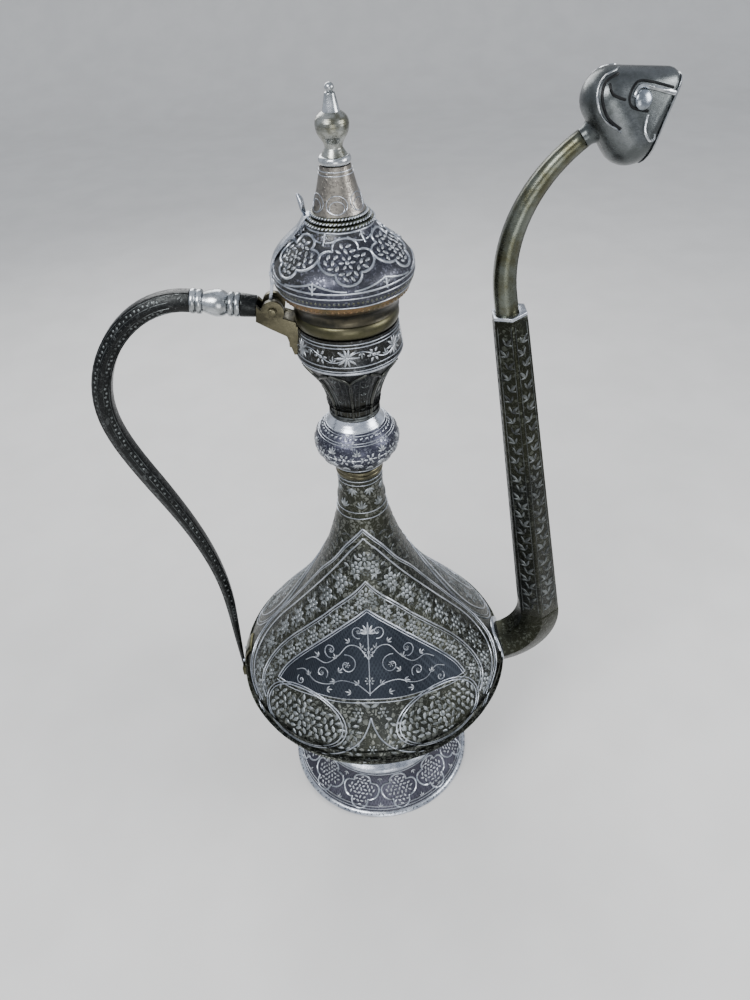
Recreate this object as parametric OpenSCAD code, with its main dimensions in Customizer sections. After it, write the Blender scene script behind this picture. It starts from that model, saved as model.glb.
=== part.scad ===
// Tall coffee and water ewer of engraved, blackened copper: a round body on a
// flared foot, a knopped neck with a hinged onion-shaped lid, a C-shaped handle
// and a long upright spout that ends in a curled, hooded head.
// Origin: centre of the foot on the table. +X to the spout, -X to the handle, +Z up.

/* [Body] */
// Radius of the body at its widest
body_r = 102; // [90:1:120]
// Height of the widest point above the table
body_z = 131; // [122:1:150]
// Height at which the shoulder has become the neck
neck_z = 313; // [280:1:340]
// Radius of the neck above the shoulder
neck_r = 14.5; // [13:0.5:18]
// Pull of the shoulder curve upwards from the widest point
shoulder_full = 24; // [15:1:45]
// Pull of the shoulder curve downwards from the neck
shoulder_waist = 101; // [80:1:115]
// Pull of the underside curve downwards from the widest point
belly_full = 10; // [4:1:20]
// Radius of the flat bottom of the body
base_r = 46; // [38:1:50]
// Height of the seam between the bottom bowl and the upper shell
seam_z = 84; // [76:1:96]
// Sheet thickness of body and neck
wall = 1.6; // [1.2:0.1:2.4]

/* [Foot] */
// Radius of the foot on the table
foot_r = 76; // [66:1:92]
// Height of the foot up to the body
foot_h = 40; // [33:1:48]
// Radius at the top of the foot
foot_top_r = 55; // [52:1:60]
// Height of the moulded rim at the table
foot_rim_h = 5; // [3:0.5:8]
// Height of the ring under the body
foot_bead_h = 7; // [5:0.5:9]

/* [Neck] */
// Height of the band under the knop
neck_band_h = 6; // [4:0.5:10]
// Radius of the knop
knop_r = 26.7; // [22:0.1:32]
// Height of the knop
knop_h = 39; // [32:1:48]
// Radius of the waist above the knop
throat_r = 14.4; // [13:0.2:17]
// Height of the ribbed piece above the knop
flute_h = 41; // [34:1:50]
// Radius at the top of the ribbed piece
flute_top_r = 29.2; // [26:0.2:32]
// Number of ribs round the waist
flute_count = 8; // [6:1:12]
// Height of the thin ring between ribbed piece and collar
neck_ring_h = 2.2; // [1.6:0.2:4]
// Height of the engraved collar
collar_h = 18.3; // [14:0.1:24]
// Radius of the engraved collar
collar_r = 31; // [30:0.5:34]
// Outer radius of the collar at the mouth
mouth_r = 28.9; // [28:0.1:32]
// Height of the half-round moulding round the mouth
mouth_roll_h = 8.5; // [6:0.5:11]
// Inner radius of the mouth
mouth_bore_r = 26; // [24:0.5:27]

/* [Lid] */
// Gap between the mouth and the closed lid
lid_gap = 0.3; // [0.2:0.1:0.6]
// Radial gap between the lid's sleeve and the mouth
sleeve_gap = 0.9; // [0.7:0.1:1.5]
// Depth of the sleeve inside the mouth
sleeve_h = 7; // [4:0.5:10]
// Height of the hollow-moulded lower edge of the lid
lid_edge_h = 8.2; // [6:0.1:10]
// Height of the plain band above that edge
lid_band_h = 5.5; // [4:0.5:8]
// How far the lid stands out beyond the mouth at its widest
lid_out = 9.8; // [8:0.1:12]
// Height of the flare from the band to the widest point
lid_flare_h = 8; // [6:0.5:12]
// Height of the dome above the widest point
lid_dome_h = 25.5; // [20:0.5:32]
// Radius where the spire starts
spire_r = 14; // [12:0.5:17]
// Height of the three cords under the spire
spire_ring_h = 5.7; // [4:0.3:9]
// Height of the spire
spire_h = 22.3; // [16:0.1:30]
// Radius at the top of the spire
spire_top_r = 8; // [6:0.5:10]
// Height of the finial above the spire
finial_h = 36.5; // [30:0.5:44]
// Radius of the finial's bulb
finial_r = 8.5; // [7:0.1:11]
// Sheet thickness of the lid
lid_wall = 1.2; // [1:0.1:1.6]

/* [Hinge] */
// Distance of the hinge axis outside the mouth
hinge_out = 12.1; // [11:0.1:15]
// Height of the hinge pin above the mouth
hinge_rise = 1; // [0:0.5:3]
// Radius of the hinge pin
pin_r = 1.5; // [1.2:0.1:2]
// Radial running clearance of the pin in the lid's knuckle
pin_gap = 0.05; // [0.02:0.01:0.1]
// Radius of the lid's knuckle
knuckle_r = 4; // [3.5:0.1:4.6]
// Width of the lid's knuckle and strap
knuckle_w = 8; // [6:0.5:10]
// Radius of the two bracket ears
ear_r = 6.5; // [5.5:0.1:7]
// Thickness of each ear
ear_t = 3.2; // [2.4:0.2:4]
// Side gap between knuckle and ear
ear_gap = 0.3; // [0.2:0.1:0.6]
// Thickness of the thumb strap
strap_t = 1.6; // [1.4:0.1:2.2]
// Height of the strap's arch above the dome
strap_rise = 3; // [2:0.5:5]
// Length of the thumb leaf
leaf_l = 9.5; // [8:0.5:16]

/* [Handle] */
// Radius of the handle's round turned pieces
grip_r = 7; // [6:0.2:9]
// Length of the tapering socket at the bracket
socket_l = 9; // [7:0.5:14]
// Length of the turned, pear-shaped piece
baluster_l = 14; // [10:0.5:20]
// Length of each pair of rings
grip_ring_l = 7; // [5:0.5:10]
// Downward slope of the turned pieces towards the pot
grip_tilt = 9; // [6:1:12]
// Distance of the handle's outermost point from the pot's axis
handle_reach = 152; // [140:1:170]
// Height of the handle's outermost point
handle_bow_z = 368; // [340:1:390]
// Half thickness of the handle bar at its top
bar_r = 6.6; // [5.5:0.1:8]
// Half thickness of the handle bar above its foot
bar_low_r = 3.9; // [3.2:0.1:4.8]
// Width of the foot plate
plate_w = 18; // [14:1:24]
// Height of the foot plate
plate_h = 36; // [28:1:44]
// Thickness of foot plate and spout flange
plate_t = 1.8; // [1.2:0.2:2.6]

/* [Spout] */
// Height of the spout's root below the body's widest point
root_drop = 3; // [0:1:10]
// Radius of the bend at the root
bend_r = 38; // [32:1:46]
// Lean of the spout's shaft towards the pot
shaft_lean = 8.5; // [6:0.5:11]
// Length of the shaft
shaft_l = 247; // [220:1:280]
// Corner radius of the six-sided shaft at the bottom
shaft_r = 16.5; // [14:0.5:19]
// Corner radius of the six-sided shaft at the top
shaft_top_r = 10.9; // [9.6:0.1:13]
// Sheet thickness of the spout
spout_wall = 1.6; // [1.2:0.1:2]
// Radius of the curve of the spout's neck
curve_r = 84; // [70:1:100]
// Angle through which the neck curves outwards
curve_angle = 64; // [50:1:72]
// Corner radius of the neck at its lower end
gooseneck_r = 7.5; // [6.5:0.1:8]
// Corner radius of the neck at the head
gooseneck_top_r = 4.9; // [4.4:0.1:6]
// Radius of the hooded head, seen from the side
head_r = 21.5; // [18:0.5:25]
// Half width of the head
head_w = 15; // [12:0.5:18]
// Distance of the head's slanting mouth from its centre
mouth_face = 16; // [13:0.2:19]
// Slant of the head's mouth
mouth_tilt = 20; // [12:1:28]
// Radius of the round plate at the spout's root
flange_r = 20.5; // [19:0.5:24]
// Radius of each strainer hole in the body wall
strainer_r = 2.6; // [2.2:0.1:3.2]

/* [Hidden] */
// Widest radius of the lid
lid_r = mouth_r + lid_out;

// Finish colours, as seen on the object
dark = "#3b3f45";
black = "#26292b";
bright = "#aeb4bd";
olive = "#5c5a48";
copper = "#8a6a4a";
pewter = "#7d7672";

// Smoothness of round pieces, of outlines, of hulls' children, and drawing overshoot
$fn = 96;
curve_steps = 24;
hull_fn = 28;
over = 1;

// Heights of the stacked pieces, from the table up
knop_z = neck_z + neck_band_h;
flute_z = knop_z + knop_h;
neck_ring_z = flute_z + flute_h;
collar_z = neck_ring_z + neck_ring_h;
mouth_z = collar_z + collar_h;
seat_z = mouth_z + mouth_roll_h;
lid_z = seat_z + lid_gap;
band_z = lid_z + lid_edge_h;
flare_z = band_z + lid_band_h;
dome_z = flare_z + lid_flare_h;
ring_z = dome_z + lid_dome_h;
spire_z = ring_z + spire_ring_h;
finial_z = spire_z + spire_h;
top_z = finial_z + finial_h;

// Hinge, as distance and height in the plane of handle and spout
hinge_x = mouth_r + hinge_out;
hinge = [-hinge_x, seat_z + hinge_rise];
ear_in = knuckle_w / 2 + ear_gap;
ear_out = ear_in + ear_t;
rivet_r = 1.4;

// Spout: every point lies in the plane of handle and spout
root_z = body_z - root_drop;
bend_inset = 10.7;
bend = [body_r - bend_inset, root_z + bend_r];
root_reach = 20;
shaft_dir = [-sin(shaft_lean), cos(shaft_lean)];
shaft_out = [cos(shaft_lean), sin(shaft_lean)];
shaft_foot = bend + bend_r * shaft_out;
shaft_head = shaft_foot + shaft_l * shaft_dir;
cap_t = 2;
neck_inset = 1.4;
neck_foot = shaft_head + cap_t * shaft_dir - neck_inset * shaft_out;
curve_lead = 10;
curve_start = neck_foot + curve_lead * shaft_dir;
curve_mid = curve_start + curve_r * shaft_out;
function on_curve(a) = curve_mid - curve_r * [cos(a - shaft_lean), -sin(a - shaft_lean)];
neck_end = on_curve(curve_angle);
neck_end_dir = [sin(curve_angle - shaft_lean), cos(curve_angle - shaft_lean)];
head_mid = neck_end + [head_r - 4, 8.5];
gooseneck_wall = 1.2;
lip_t = 1.6;

// Handle: the turned pieces lie along one tilted line from the bracket outwards
grip_dir = [-cos(grip_tilt), sin(grip_tilt)];
grip_up = [sin(grip_tilt), cos(grip_tilt)];
lug_l = 9;
socket_r = grip_r - 1;
socket_at = hinge + [-lug_l, 1];
rings_in_at = socket_at + socket_l * grip_dir;
baluster_at = rings_in_at + grip_ring_l * grip_dir;
rings_out_at = baluster_at + baluster_l * grip_dir;
bar_at = rings_out_at + grip_ring_l * grip_dir;
bar_low = [-body_r - 4, body_z + 59];
bar_tip = [-body_r - 5, body_z - 14];
bar_tip_r = 1.3;
block_h = 8;

// A point on a cubic curve, a row of such points, and rows moved to their left
function bez(p, t) = pow(1 - t, 3) * p[0] + 3 * pow(1 - t, 2) * t * p[1]
    + 3 * (1 - t) * t * t * p[2] + pow(t, 3) * p[3];
function bez_row(p, n = curve_steps) = [for (i = [0:n]) bez(p, i / n)];
function unit(v) = v / norm(v);
function blend(a, b, t) = a + (b - a) * t;
function along(row, i) = unit(row[min(i + 1, len(row) - 1)] - row[max(i - 1, 0)]);
function left_of(v) = [-v[1], v[0]];
function moved(row, d) = [for (i = [0:len(row) - 1]) row[i] + d * left_of(along(row, i))];
function first(row) = row[0];
function last(row) = row[len(row) - 1];
function tail(row) = [for (i = [1:len(row) - 1]) row[i]];
function reversed(row) = [for (i = [len(row) - 1:-1:0]) row[i]];
function mirrored(row) = [for (p = row) [-p[0], p[1]]];
function arc(mid, a, b, from, to, n = 12) = [for (i = [0:n]) let (at = from + (to - from) * i / n)
    mid + [a * cos(at), b * sin(at)]];

// Outer outlines, as radius and height
belly = bez_row([[base_r, foot_h], [base_r + 14, foot_h + 22],
    [body_r, body_z - belly_full], [body_r, body_z]], 16);
shoulder = bez_row([[body_r, body_z], [body_r, body_z + shoulder_full],
    [neck_r, neck_z - shoulder_waist], [neck_r, neck_z]]);
body_side = concat(belly, tail(shoulder));
knop_mid = [knop_r, knop_z + knop_h / 2];
knop = concat(
    bez_row([[neck_r, knop_z], [neck_r + 2.5, knop_z + 4], knop_mid - [0, 10], knop_mid], 10),
    tail(bez_row([knop_mid, knop_mid + [0, 8.5], [throat_r + 3.5, flute_z - 8], [throat_r, flute_z]], 10)));
flute = bez_row([[throat_r, flute_z], [throat_r, flute_z + 18],
    [flute_top_r - 8.2, neck_ring_z - 15], [flute_top_r, neck_ring_z]], 14);
collar = bez_row([[collar_r, collar_z], [collar_r - 0.4, collar_z + 5],
    [mouth_r + 0.3, collar_z + 9], [mouth_r, mouth_z]], 10);
edge_r = mouth_r + 0.8;
band_r = edge_r + 2.8;
edge = bez_row([[edge_r, lid_z], [edge_r - 1.4, lid_z + 3],
    [edge_r - 0.4, band_z - 3], [band_r, band_z]], 10);
band = bez_row([[band_r, band_z], [band_r + 2, band_z + 1],
    [band_r + 3.4, band_z + 3], [band_r + 3.7, flare_z]], 6);
flare = bez_row([last(band), last(band) + [1.4, 2.2], [lid_r, dome_z - 4], [lid_r, dome_z]], 8);
dome = bez_row([[lid_r, dome_z], [lid_r, dome_z + 11.5],
    [spire_r + 8, ring_z - 10], [spire_r + 3.4, ring_z]], 16);
lid_side = concat(edge, tail(band), tail(flare), tail(dome));
spire = bez_row([[spire_r, spire_z], [spire_r - 2.8, spire_z + 8],
    [spire_top_r + 1.6, finial_z - 8], [spire_top_r, finial_z]], 10);

// Turned shapes: a solid below an outline, a wall behind it, and a moulded ring
module turned(points) { rotate_extrude() polygon(points); }
module turned_core(row) { turned(concat([[0, first(row)[1]]], row, [[0, last(row)[1]]])); }
module turned_wall(row, t) {
    difference() {
        turned_core(row);
        turned_core(concat([first(row) - [t, over]], moved(row, t), [last(row) + [-t, over]]));
    }
}
module bead(r, h, z, bore) {
    half = arc([r - h / 3, z + h / 2], h / 3, h / 2, -90, 90, 10);
    turned(concat([[bore, z]], half, [[bore, z + h]]));
}
// A slab in the plane of handle and spout, with its thickness across that plane
module side_slab(w) { rotate([90, 0, 0]) linear_extrude(w, center = true) children(); }
// A round bar or hole across that plane, and children aimed along a direction in it
module across(at, r, w) {
    translate([at[0], 0, at[1]]) rotate([90, 0, 0]) cylinder(r = r, h = w, center = true);
}
module aimed(at, dir) { translate([at[0], 0, at[1]]) rotate([0, atan2(dir[0], dir[1]), 0]) children(); }

// A bar or tube of six sides along points in that plane; corners point across it
sides = 6;
function bar_ring(p, dir, r) = [for (k = [0:sides - 1]) let (a = 90 + k * 360 / sides)
    [p[0] + r * cos(a) * dir[1], r * sin(a), p[1] - r * cos(a) * dir[0]]];
module bar(row, radii) {
    n = len(row);
    points = [for (i = [0:n - 1]) each bar_ring(row[i], along(row, i), radii[i])];
    skin = [for (i = [0:n - 2], k = [0:sides - 1]) let (k2 = (k + 1) % sides)
        each [[i * sides + k, (i + 1) * sides + k, i * sides + k2],
            [i * sides + k2, (i + 1) * sides + k, (i + 1) * sides + k2]]];
    ends = [[for (k = [0:sides - 1]) k], [for (k = [sides - 1:-1:0]) (n - 1) * sides + k]];
    polyhedron(points, concat(skin, ends), convexity = 6);
}

// Whole outer solids that neighbours are cut back to
module body_core(grow = 0) { turned_core(moved(body_side, -grow)); }
module neck_core() {
    turned_core(collar);
    translate([0, 0, mouth_z]) cylinder(r = edge_r, h = mouth_roll_h);
}
module lid_core() { turned_core(lid_side); }

module foot_rim() {
    inner_r = foot_r - 8;
    color(bright) turned([[inner_r, 0], [foot_r - 1, 0], [foot_r, 1.2], [foot_r, foot_rim_h - 2],
        [foot_r - 2, foot_rim_h], [inner_r, foot_rim_h]]);
}

skirt_top_z = foot_h - foot_bead_h;
module foot_skirt() {
    skirt_r = foot_r - 3;
    skirt = bez_row([[skirt_r, foot_rim_h], [skirt_r - 3, foot_rim_h + 8],
        [foot_top_r + 1, skirt_top_z - 14], [foot_top_r - 1, skirt_top_z]], 10);
    color(dark) turned_wall(skirt, wall);
}

module foot_bead() {
    bore = base_r - 8;
    bead_row = bez_row([[foot_top_r, skirt_top_z], [foot_top_r + 1.5, skirt_top_z + 3],
        [base_r + 7, foot_h - 3], [base_r + 4, foot_h]], 8);
    color(bright) turned(concat([[bore, skirt_top_z]], bead_row, [[bore, foot_h]]));
}

module body_space() {
    difference() {
        turned_core(concat(moved(body_side, wall), [[neck_r - wall, neck_z + over]]));
        cylinder(r = body_r, h = foot_h + wall);
    }
}

module body_bowl() {
    color(dark) difference() {
        intersection() {
            body_core();
            cylinder(r = body_r + over, h = seam_z);
        }
        body_space();
    }
}

module body_shell() {
    color(dark) difference() {
        body_core();
        body_space();
        cylinder(r = body_r + over, h = seam_z);
        strainer_holes();
    }
}

// One hole in the middle and six round it, inside the spout's root
module strainer_holes() {
    spread = 3.2 * strainer_r;
    for (k = [0:6]) {
        out = k == 0 ? 0 : spread;
        translate([body_r - root_reach, out * cos(60 * k), root_z + out * sin(60 * k)])
            rotate([0, 90, 0]) cylinder(r = strainer_r, h = 2 * root_reach, $fn = 24);
    }
}

module neck_band() {
    cord_h = neck_band_h / 2;
    color(copper) for (z = [neck_z, neck_z + cord_h]) bead(neck_r + 1, cord_h, z, throat_r - wall);
}

module neck_knop() { color(bright) turned_wall(knop, wall); }

module ribbed_neck() {
    rib_r = 0.9;
    rib_h = flute_h * 0.3;
    color(black) {
        turned_wall(flute, wall);
        for (k = [0:flute_count - 1]) rotate([0, 0, (k + 0.5) * 360 / flute_count - 90])
            translate([throat_r, 0, flute_z]) cylinder(r = rib_r, h = rib_h, $fn = 24);
    }
}

module neck_ring() { color(bright) bead(flute_top_r + 1, neck_ring_h, neck_ring_z, flute_top_r - wall); }

module engraved_collar() { color(dark) turned_wall(collar, wall); }

module mouth_roll() { color(olive) bead(edge_r, mouth_roll_h, mouth_z, mouth_bore_r); }

// The handle's end: two ears round the lid's knuckle, and a tongue down to the collar
module hinge_bracket() {
    swing_r = ear_r + 4.5;
    tongue_t = 0.8;
    dip = hinge + [-5.5, 0.5];
    slot_z = hinge[1] - knuckle_r - over;
    color(olive) difference() {
        union() {
            across(hinge, ear_r, 2 * ear_out);
            side_slab(2 * ear_out) polygon([socket_at + 3 * grip_up, dip, hinge + [0, -2],
                [-collar_r + 4, mouth_z + 2], [-collar_r + 4, collar_z + over],
                [-collar_r - tongue_t, collar_z + over], hinge + [6.2, -15],
                hinge + [-2.2, -10], socket_at - socket_r * grip_up]);
        }
        neck_core();
        side_slab(2 * ear_in) intersection() {
            translate(hinge) circle(r = swing_r);
            translate([hinge[0] - swing_r, slot_z]) square(2 * swing_r);
        }
        across(hinge, pin_r, 2 * ear_out + over);
    }
}

module bracket_rivets() {
    spread = ear_out * 0.6;
    color(bright) for (side = [-1, 1])
        translate([-collar_r - 3.2, side * spread, collar_z + 6])
            rotate([0, 90, 0]) cylinder(r = rivet_r, h = 6, $fn = 24);
}

module hinge_pin() {
    head_t = 1.2;
    color(bright) {
        across(hinge, pin_r, 2 * ear_out);
        for (side = [-1, 1]) translate([0, side * (ear_out + head_t / 2), 0])
            across(hinge, pin_r + 1.1, head_t);
    }
}

module ring_pair() {
    cord_l = grip_ring_l / 2;
    cord = arc([grip_r - cord_l / 3, cord_l / 2], cord_l / 3, cord_l / 2, -90, 90, 10);
    for (z = [0, cord_l]) translate([0, 0, z]) turned(concat([[0, 0]], cord, [[0, cord_l]]));
}

module handle_socket() {
    color(black) aimed(socket_at, grip_dir) cylinder(r1 = socket_r, r2 = grip_r - 0.4, h = socket_l);
}

module handle_rings_inner() { color(bright) aimed(rings_in_at, grip_dir) ring_pair(); }

module handle_baluster() {
    pear = bez_row([[grip_r - 1.6, 0], [grip_r + 2.6, baluster_l * 0.3],
        [grip_r - 0.4, baluster_l * 0.75], [grip_r - 1.6, baluster_l]], 12);
    color(bright) aimed(baluster_at, grip_dir) turned_core(pear);
}

module handle_rings_outer() { color(bright) aimed(rings_out_at, grip_dir) ring_pair(); }

// The bar rises to its outermost point, falls along the body and tapers to its foot
bow = [-handle_reach, handle_bow_z];
bow_lead = (hinge[1] - handle_bow_z) * 0.6;
bar_rise = bez_row([bar_at, bar_at + 34 * grip_dir, bow + [0, bow_lead], bow], 14);
bar_fall = bez_row([bow, bow - [0, 44], bar_low + [0, 87], bar_low], 16);
bar_drop = bez_row([bar_low, bar_low - [0, 20], bar_tip + [0, 25], bar_tip], 8);
bar_row = concat(bar_rise, tail(bar_fall), tail(bar_drop));
taper_z = handle_bow_z - 60;
function bar_half(p) = p[0] > bow[0] && p[1] > taper_z ? bar_r
    : p[1] > bar_low[1] ? blend(bar_low_r, bar_r, pow((p[1] - bar_low[1]) / (taper_z - bar_low[1]), 1.2))
    : blend(bar_low_r, bar_tip_r, pow((bar_low[1] - p[1]) / (bar_low[1] - bar_tip[1]), 1.6));

module handle_bar() {
    row = concat([bar_at - grip_dir], bar_row);
    color(black) difference() {
        bar(row, [for (p = row) min(bar_r, bar_half(p))]);
        aimed(rings_out_at, grip_dir) cylinder(r = 2 * bar_r, h = grip_ring_l);
    }
}

module handle_foot_plate() {
    block_z = bar_tip[1] - block_h;
    color(olive) difference() {
        union() {
            intersection() {
                body_core(plate_t);
                translate([-body_r - 10, -plate_w / 2, block_z]) cube([30, plate_w, plate_h]);
            }
            translate([bar_tip[0] - bar_tip_r, -plate_w / 4, block_z]) cube([40, plate_w / 2, block_h]);
        }
        body_core();
    }
}

module handle_rivets() {
    color(bright) for (side = [-1, 1])
        translate([-body_r - plate_t - 1, side * plate_w * 0.36, body_z]) rotate([0, 90, 0])
            cylinder(r = rivet_r, h = 5, $fn = 24);
}

// Bend of the spout at its root: a straight start through the body's wall, then an arc
module elbow(r, past) {
    translate([bend[0], 0, bend[1]]) rotate([90, 0, 0]) rotate([0, 0, -90])
        rotate_extrude(angle = 90 + shaft_lean + past) translate([bend_r, 0])
            rotate(90) circle(r = r, $fn = sides);
    translate([bend[0] - root_reach, 0, root_z]) rotate([0, 90, 0]) rotate(90)
        cylinder(r = r, h = root_reach, $fn = sides);
}

module spout_elbow() {
    color(black) difference() {
        elbow(shaft_r, 0);
        elbow(shaft_r - spout_wall, 0.5);
        body_core();
    }
}

module spout_flange() {
    color(bright) difference() {
        intersection() {
            body_core(plate_t);
            translate([body_r - root_reach, 0, root_z]) rotate([0, 90, 0])
                cylinder(r = flange_r, h = 2 * root_reach);
        }
        body_core();
        elbow(shaft_r, 0);
    }
}

module spout_shaft() {
    color(black) aimed(shaft_foot, shaft_dir) rotate(90) difference() {
        cylinder(r1 = shaft_r, r2 = shaft_top_r, h = shaft_l, $fn = sides);
        translate([0, 0, -over]) cylinder(r1 = shaft_r - spout_wall, r2 = shaft_top_r - spout_wall,
            h = shaft_l + 2 * over, $fn = sides);
    }
}

gooseneck_row = concat([neck_foot - cap_t * shaft_dir, neck_foot],
    [for (i = [0:18]) on_curve(curve_angle * i / 18)]);
function gooseneck_half(i) = blend(gooseneck_r, gooseneck_top_r, i / (len(gooseneck_row) - 1));
function gooseneck_radii(less) = [for (i = [0:len(gooseneck_row) - 1]) gooseneck_half(i) - less];
module gooseneck_core() { bar(gooseneck_row, gooseneck_radii(0)); }

module spout_step_cap() {
    color(bright) difference() {
        aimed(shaft_head, shaft_dir) rotate(90) cylinder(r = shaft_top_r, h = cap_t, $fn = sides);
        gooseneck_core();
    }
}

module spout_gooseneck() {
    middle = tail(reversed(tail(gooseneck_row)));
    bore = concat([first(gooseneck_row) - over * shaft_dir], reversed(middle),
        [last(gooseneck_row) + over * neck_end_dir]);
    color(olive) difference() {
        gooseneck_core();
        bar(bore, gooseneck_radii(gooseneck_wall));
    }
}

// The head: a hood round the end of the neck, open at a slanting face
module head_form(less) {
    crown_r = head_r * 0.64;
    crown = head_mid + [-9, 8];
    chin = head_mid + [2.5, -9];
    brow = head_mid + [17, 13];
    scale([1, (head_w - less) / (crown_r - less), 1]) hull() {
        translate([crown[0], 0, crown[1]]) sphere(r = crown_r - less, $fn = hull_fn);
        translate([chin[0], 0, chin[1]]) sphere(r = crown_r + 0.5 - less, $fn = hull_fn);
        translate([brow[0], 0, brow[1]]) sphere(r = crown_r / 2 - less, $fn = 20);
    }
}
// A slice of space in front of the head's mouth
module mouth_slice(t) {
    span = 4 * head_r;
    translate([head_mid[0], 0, head_mid[1]]) rotate([0, mouth_tilt, 0])
        translate([mouth_face, -span / 2, -span / 2]) cube([t, span, span]);
}

module spout_head() {
    color(dark) difference() {
        head_form(0);
        head_form(spout_wall);
        mouth_slice(2 * head_r);
        gooseneck_core();
        aimed(neck_end, neck_end_dir) translate([0, 0, -over]) cylinder(r = gooseneck_top_r, h = 8);
    }
}

module spout_lip() {
    color(bright) difference() {
        intersection() {
            head_form(-0.8);
            mouth_slice(lip_t);
        }
        head_form(spout_wall);
    }
}

// The lid and what is on it
module lid_sleeve() {
    sleeve_r = mouth_bore_r - sleeve_gap;
    color(olive) turned([[sleeve_r - lid_wall, seat_z - sleeve_h], [sleeve_r, seat_z - sleeve_h],
        [sleeve_r, lid_z], [edge_r - lid_wall, lid_z], [edge_r - lid_wall, lid_z + lid_wall],
        [sleeve_r - lid_wall, lid_z + lid_wall]]);
}
module lid_edge() {
    color(olive) difference() {
        turned_core(edge);
        translate([0, 0, lid_z - over]) cylinder(r = edge_r - lid_wall, h = lid_wall + over);
        translate([0, 0, lid_z]) cylinder(r = edge_r - 2.2 * lid_wall, h = lid_edge_h + over);
    }
}
module lid_band() {
    color(copper) difference() {
        turned_core(band);
        translate([0, 0, band_z - over]) cylinder(r = band_r - lid_wall, h = lid_band_h + 2 * over);
    }
}
module lid_flare() { color(dark) turned_wall(flare, lid_wall); }
module lid_dome() { color(dark) turned_wall(dome, lid_wall); }

cord_h = spire_ring_h / 3;
cord_out = [4.3, 2.6, 0.9];
module lid_spire_ring() {
    color(bright) for (k = [0:2])
        bead(spire_r + cord_out[k], cord_h, ring_z + k * cord_h, spire_r - lid_wall);
}
module lid_spire() {
    color(pewter) difference() {
        turned_core(spire);
        turned_core(concat([[spire_r - lid_wall, spire_z - over]], moved(spire, lid_wall)));
        translate([0, 0, spire_z]) cylinder(r = stud_r, h = spire_h + over);
    }
    color(pewter) difference() {
        translate([0, 0, finial_z - lid_wall]) cylinder(r = spire_top_r - lid_wall / 2, h = lid_wall);
        translate([0, 0, finial_z - 2 * lid_wall]) cylinder(r = stud_r, h = 3 * lid_wall);
    }
}

stud_r = 2;
finial_collar_h = 4.2;
bulb_z = finial_z + finial_collar_h;
tip_h = 12.5;
tip_z = top_z - tip_h;
module finial_collar() { color(bright) bead(spire_top_r + 0.3, finial_collar_h, finial_z, stud_r); }
module finial_bulb() {
    waist_r = finial_r * 0.53;
    bulb_mid = tip_z - 5.5;
    rise = bez_row([[waist_r, bulb_z + 3.5], [waist_r, bulb_mid - 7], [finial_r, bulb_mid - 6],
        [finial_r, bulb_mid]], 8);
    fall = bez_row([[finial_r, bulb_mid], [finial_r, bulb_mid + 3], [finial_r * 0.75, tip_z - 1],
        [waist_r, tip_z]], 6);
    base = [[stud_r, bulb_z], [finial_r * 0.78, bulb_z]];
    color(bright) turned(concat(base, rise, tail(fall), [[stud_r, tip_z]]));
}
module finial_tip() {
    groove_z = tip_z + tip_h * 0.64;
    color(bright) turned(concat([[0, tip_z], [finial_r * 0.52, tip_z], [finial_r * 0.3, groove_z]],
        arc([0, top_z - 2.2], 2.3, 2.2, -50, 90, 8)));
}
module finial_stud() {
    washer_t = 1.5;
    color(pewter) {
        translate([0, 0, finial_z - lid_wall]) cylinder(r = stud_r, h = tip_z - finial_z + lid_wall);
        translate([0, 0, finial_z - lid_wall - washer_t]) cylinder(r = spire_top_r - 3.5, h = washer_t);
    }
}

// A strap that arches from the knuckle over the lid, with two feet on it, to the thumb leaf
strap_side = [-lid_r - strap_t + 0.3, dome_z - 2];
strap_over = [-spire_r - 12, ring_z - 8 + strap_rise];
leaf_root = [-spire_r - 4.6, spire_z - 1.5];
strap_row = concat(
    bez_row([hinge + [-2.2, 2], hinge + [-1.4, 8], strap_side - [0.4, 8], strap_side], 5),
    tail(bez_row([strap_side, strap_side + [0.4, 10], strap_over + [-9, -7], strap_over], 8)),
    tail(bez_row([strap_over, strap_over + [4, 3], leaf_root - [2, 4], leaf_root], 4)));
module thumb_strap() {
    foot = strap_over + [1, -1.5];
    color(bright) difference() {
        union() {
            across(hinge, knuckle_r, knuckle_w);
            side_slab(knuckle_w) {
                polygon(concat(strap_row, reversed(moved(strap_row, -strap_t))));
                polygon([strap_side + [0.5, -4], strap_side + [2.5, -4], strap_side + [2.5, 4],
                    strap_side + [0.5, 4]]);
                polygon([foot + [-1.5, -0.5], foot + [0.5, 1], foot + [6, -5], foot + [3, -7]]);
                polygon([leaf_root + [0, -1.5], leaf_root, leaf_root + [6, 0], leaf_root + [6, -1.5]]);
            }
        }
        lid_core();
        for (k = [0:2]) translate([0, 0, ring_z]) cylinder(r = spire_r + cord_out[k], h = (k + 1) * cord_h);
        across(hinge, pin_r + pin_gap, knuckle_w + over);
    }
}

module thumb_leaf() {
    middle = leaf_root + [-0.3, leaf_l / 2];
    tip = leaf_root + [-1.8, leaf_l];
    color(bright) difference() {
        hull() {
            translate([leaf_root[0] + 0.4, 0, leaf_root[1] + 1]) sphere(r = 1.2, $fn = hull_fn);
            translate([middle[0], 0, middle[1]]) scale([0.35, 1, 1]) sphere(r = 4, $fn = hull_fn);
            translate([tip[0], 0, tip[1]]) sphere(r = 0.9, $fn = hull_fn);
        }
        side_slab(2 * knuckle_w) polygon([leaf_root + [-4, -6], leaf_root + [-4, 0], leaf_root + [6, 0],
            leaf_root + [6, -6]]);
    }
}

module lid_rivets() {
    color(bright) for (z = [dome_z - 4.6, dome_z - 1.6])
        translate([strap_side[0] - 0.5, 0, z]) rotate([0, 90, 0]) cylinder(r = rivet_r, h = 3.4, $fn = 24);
}

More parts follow.
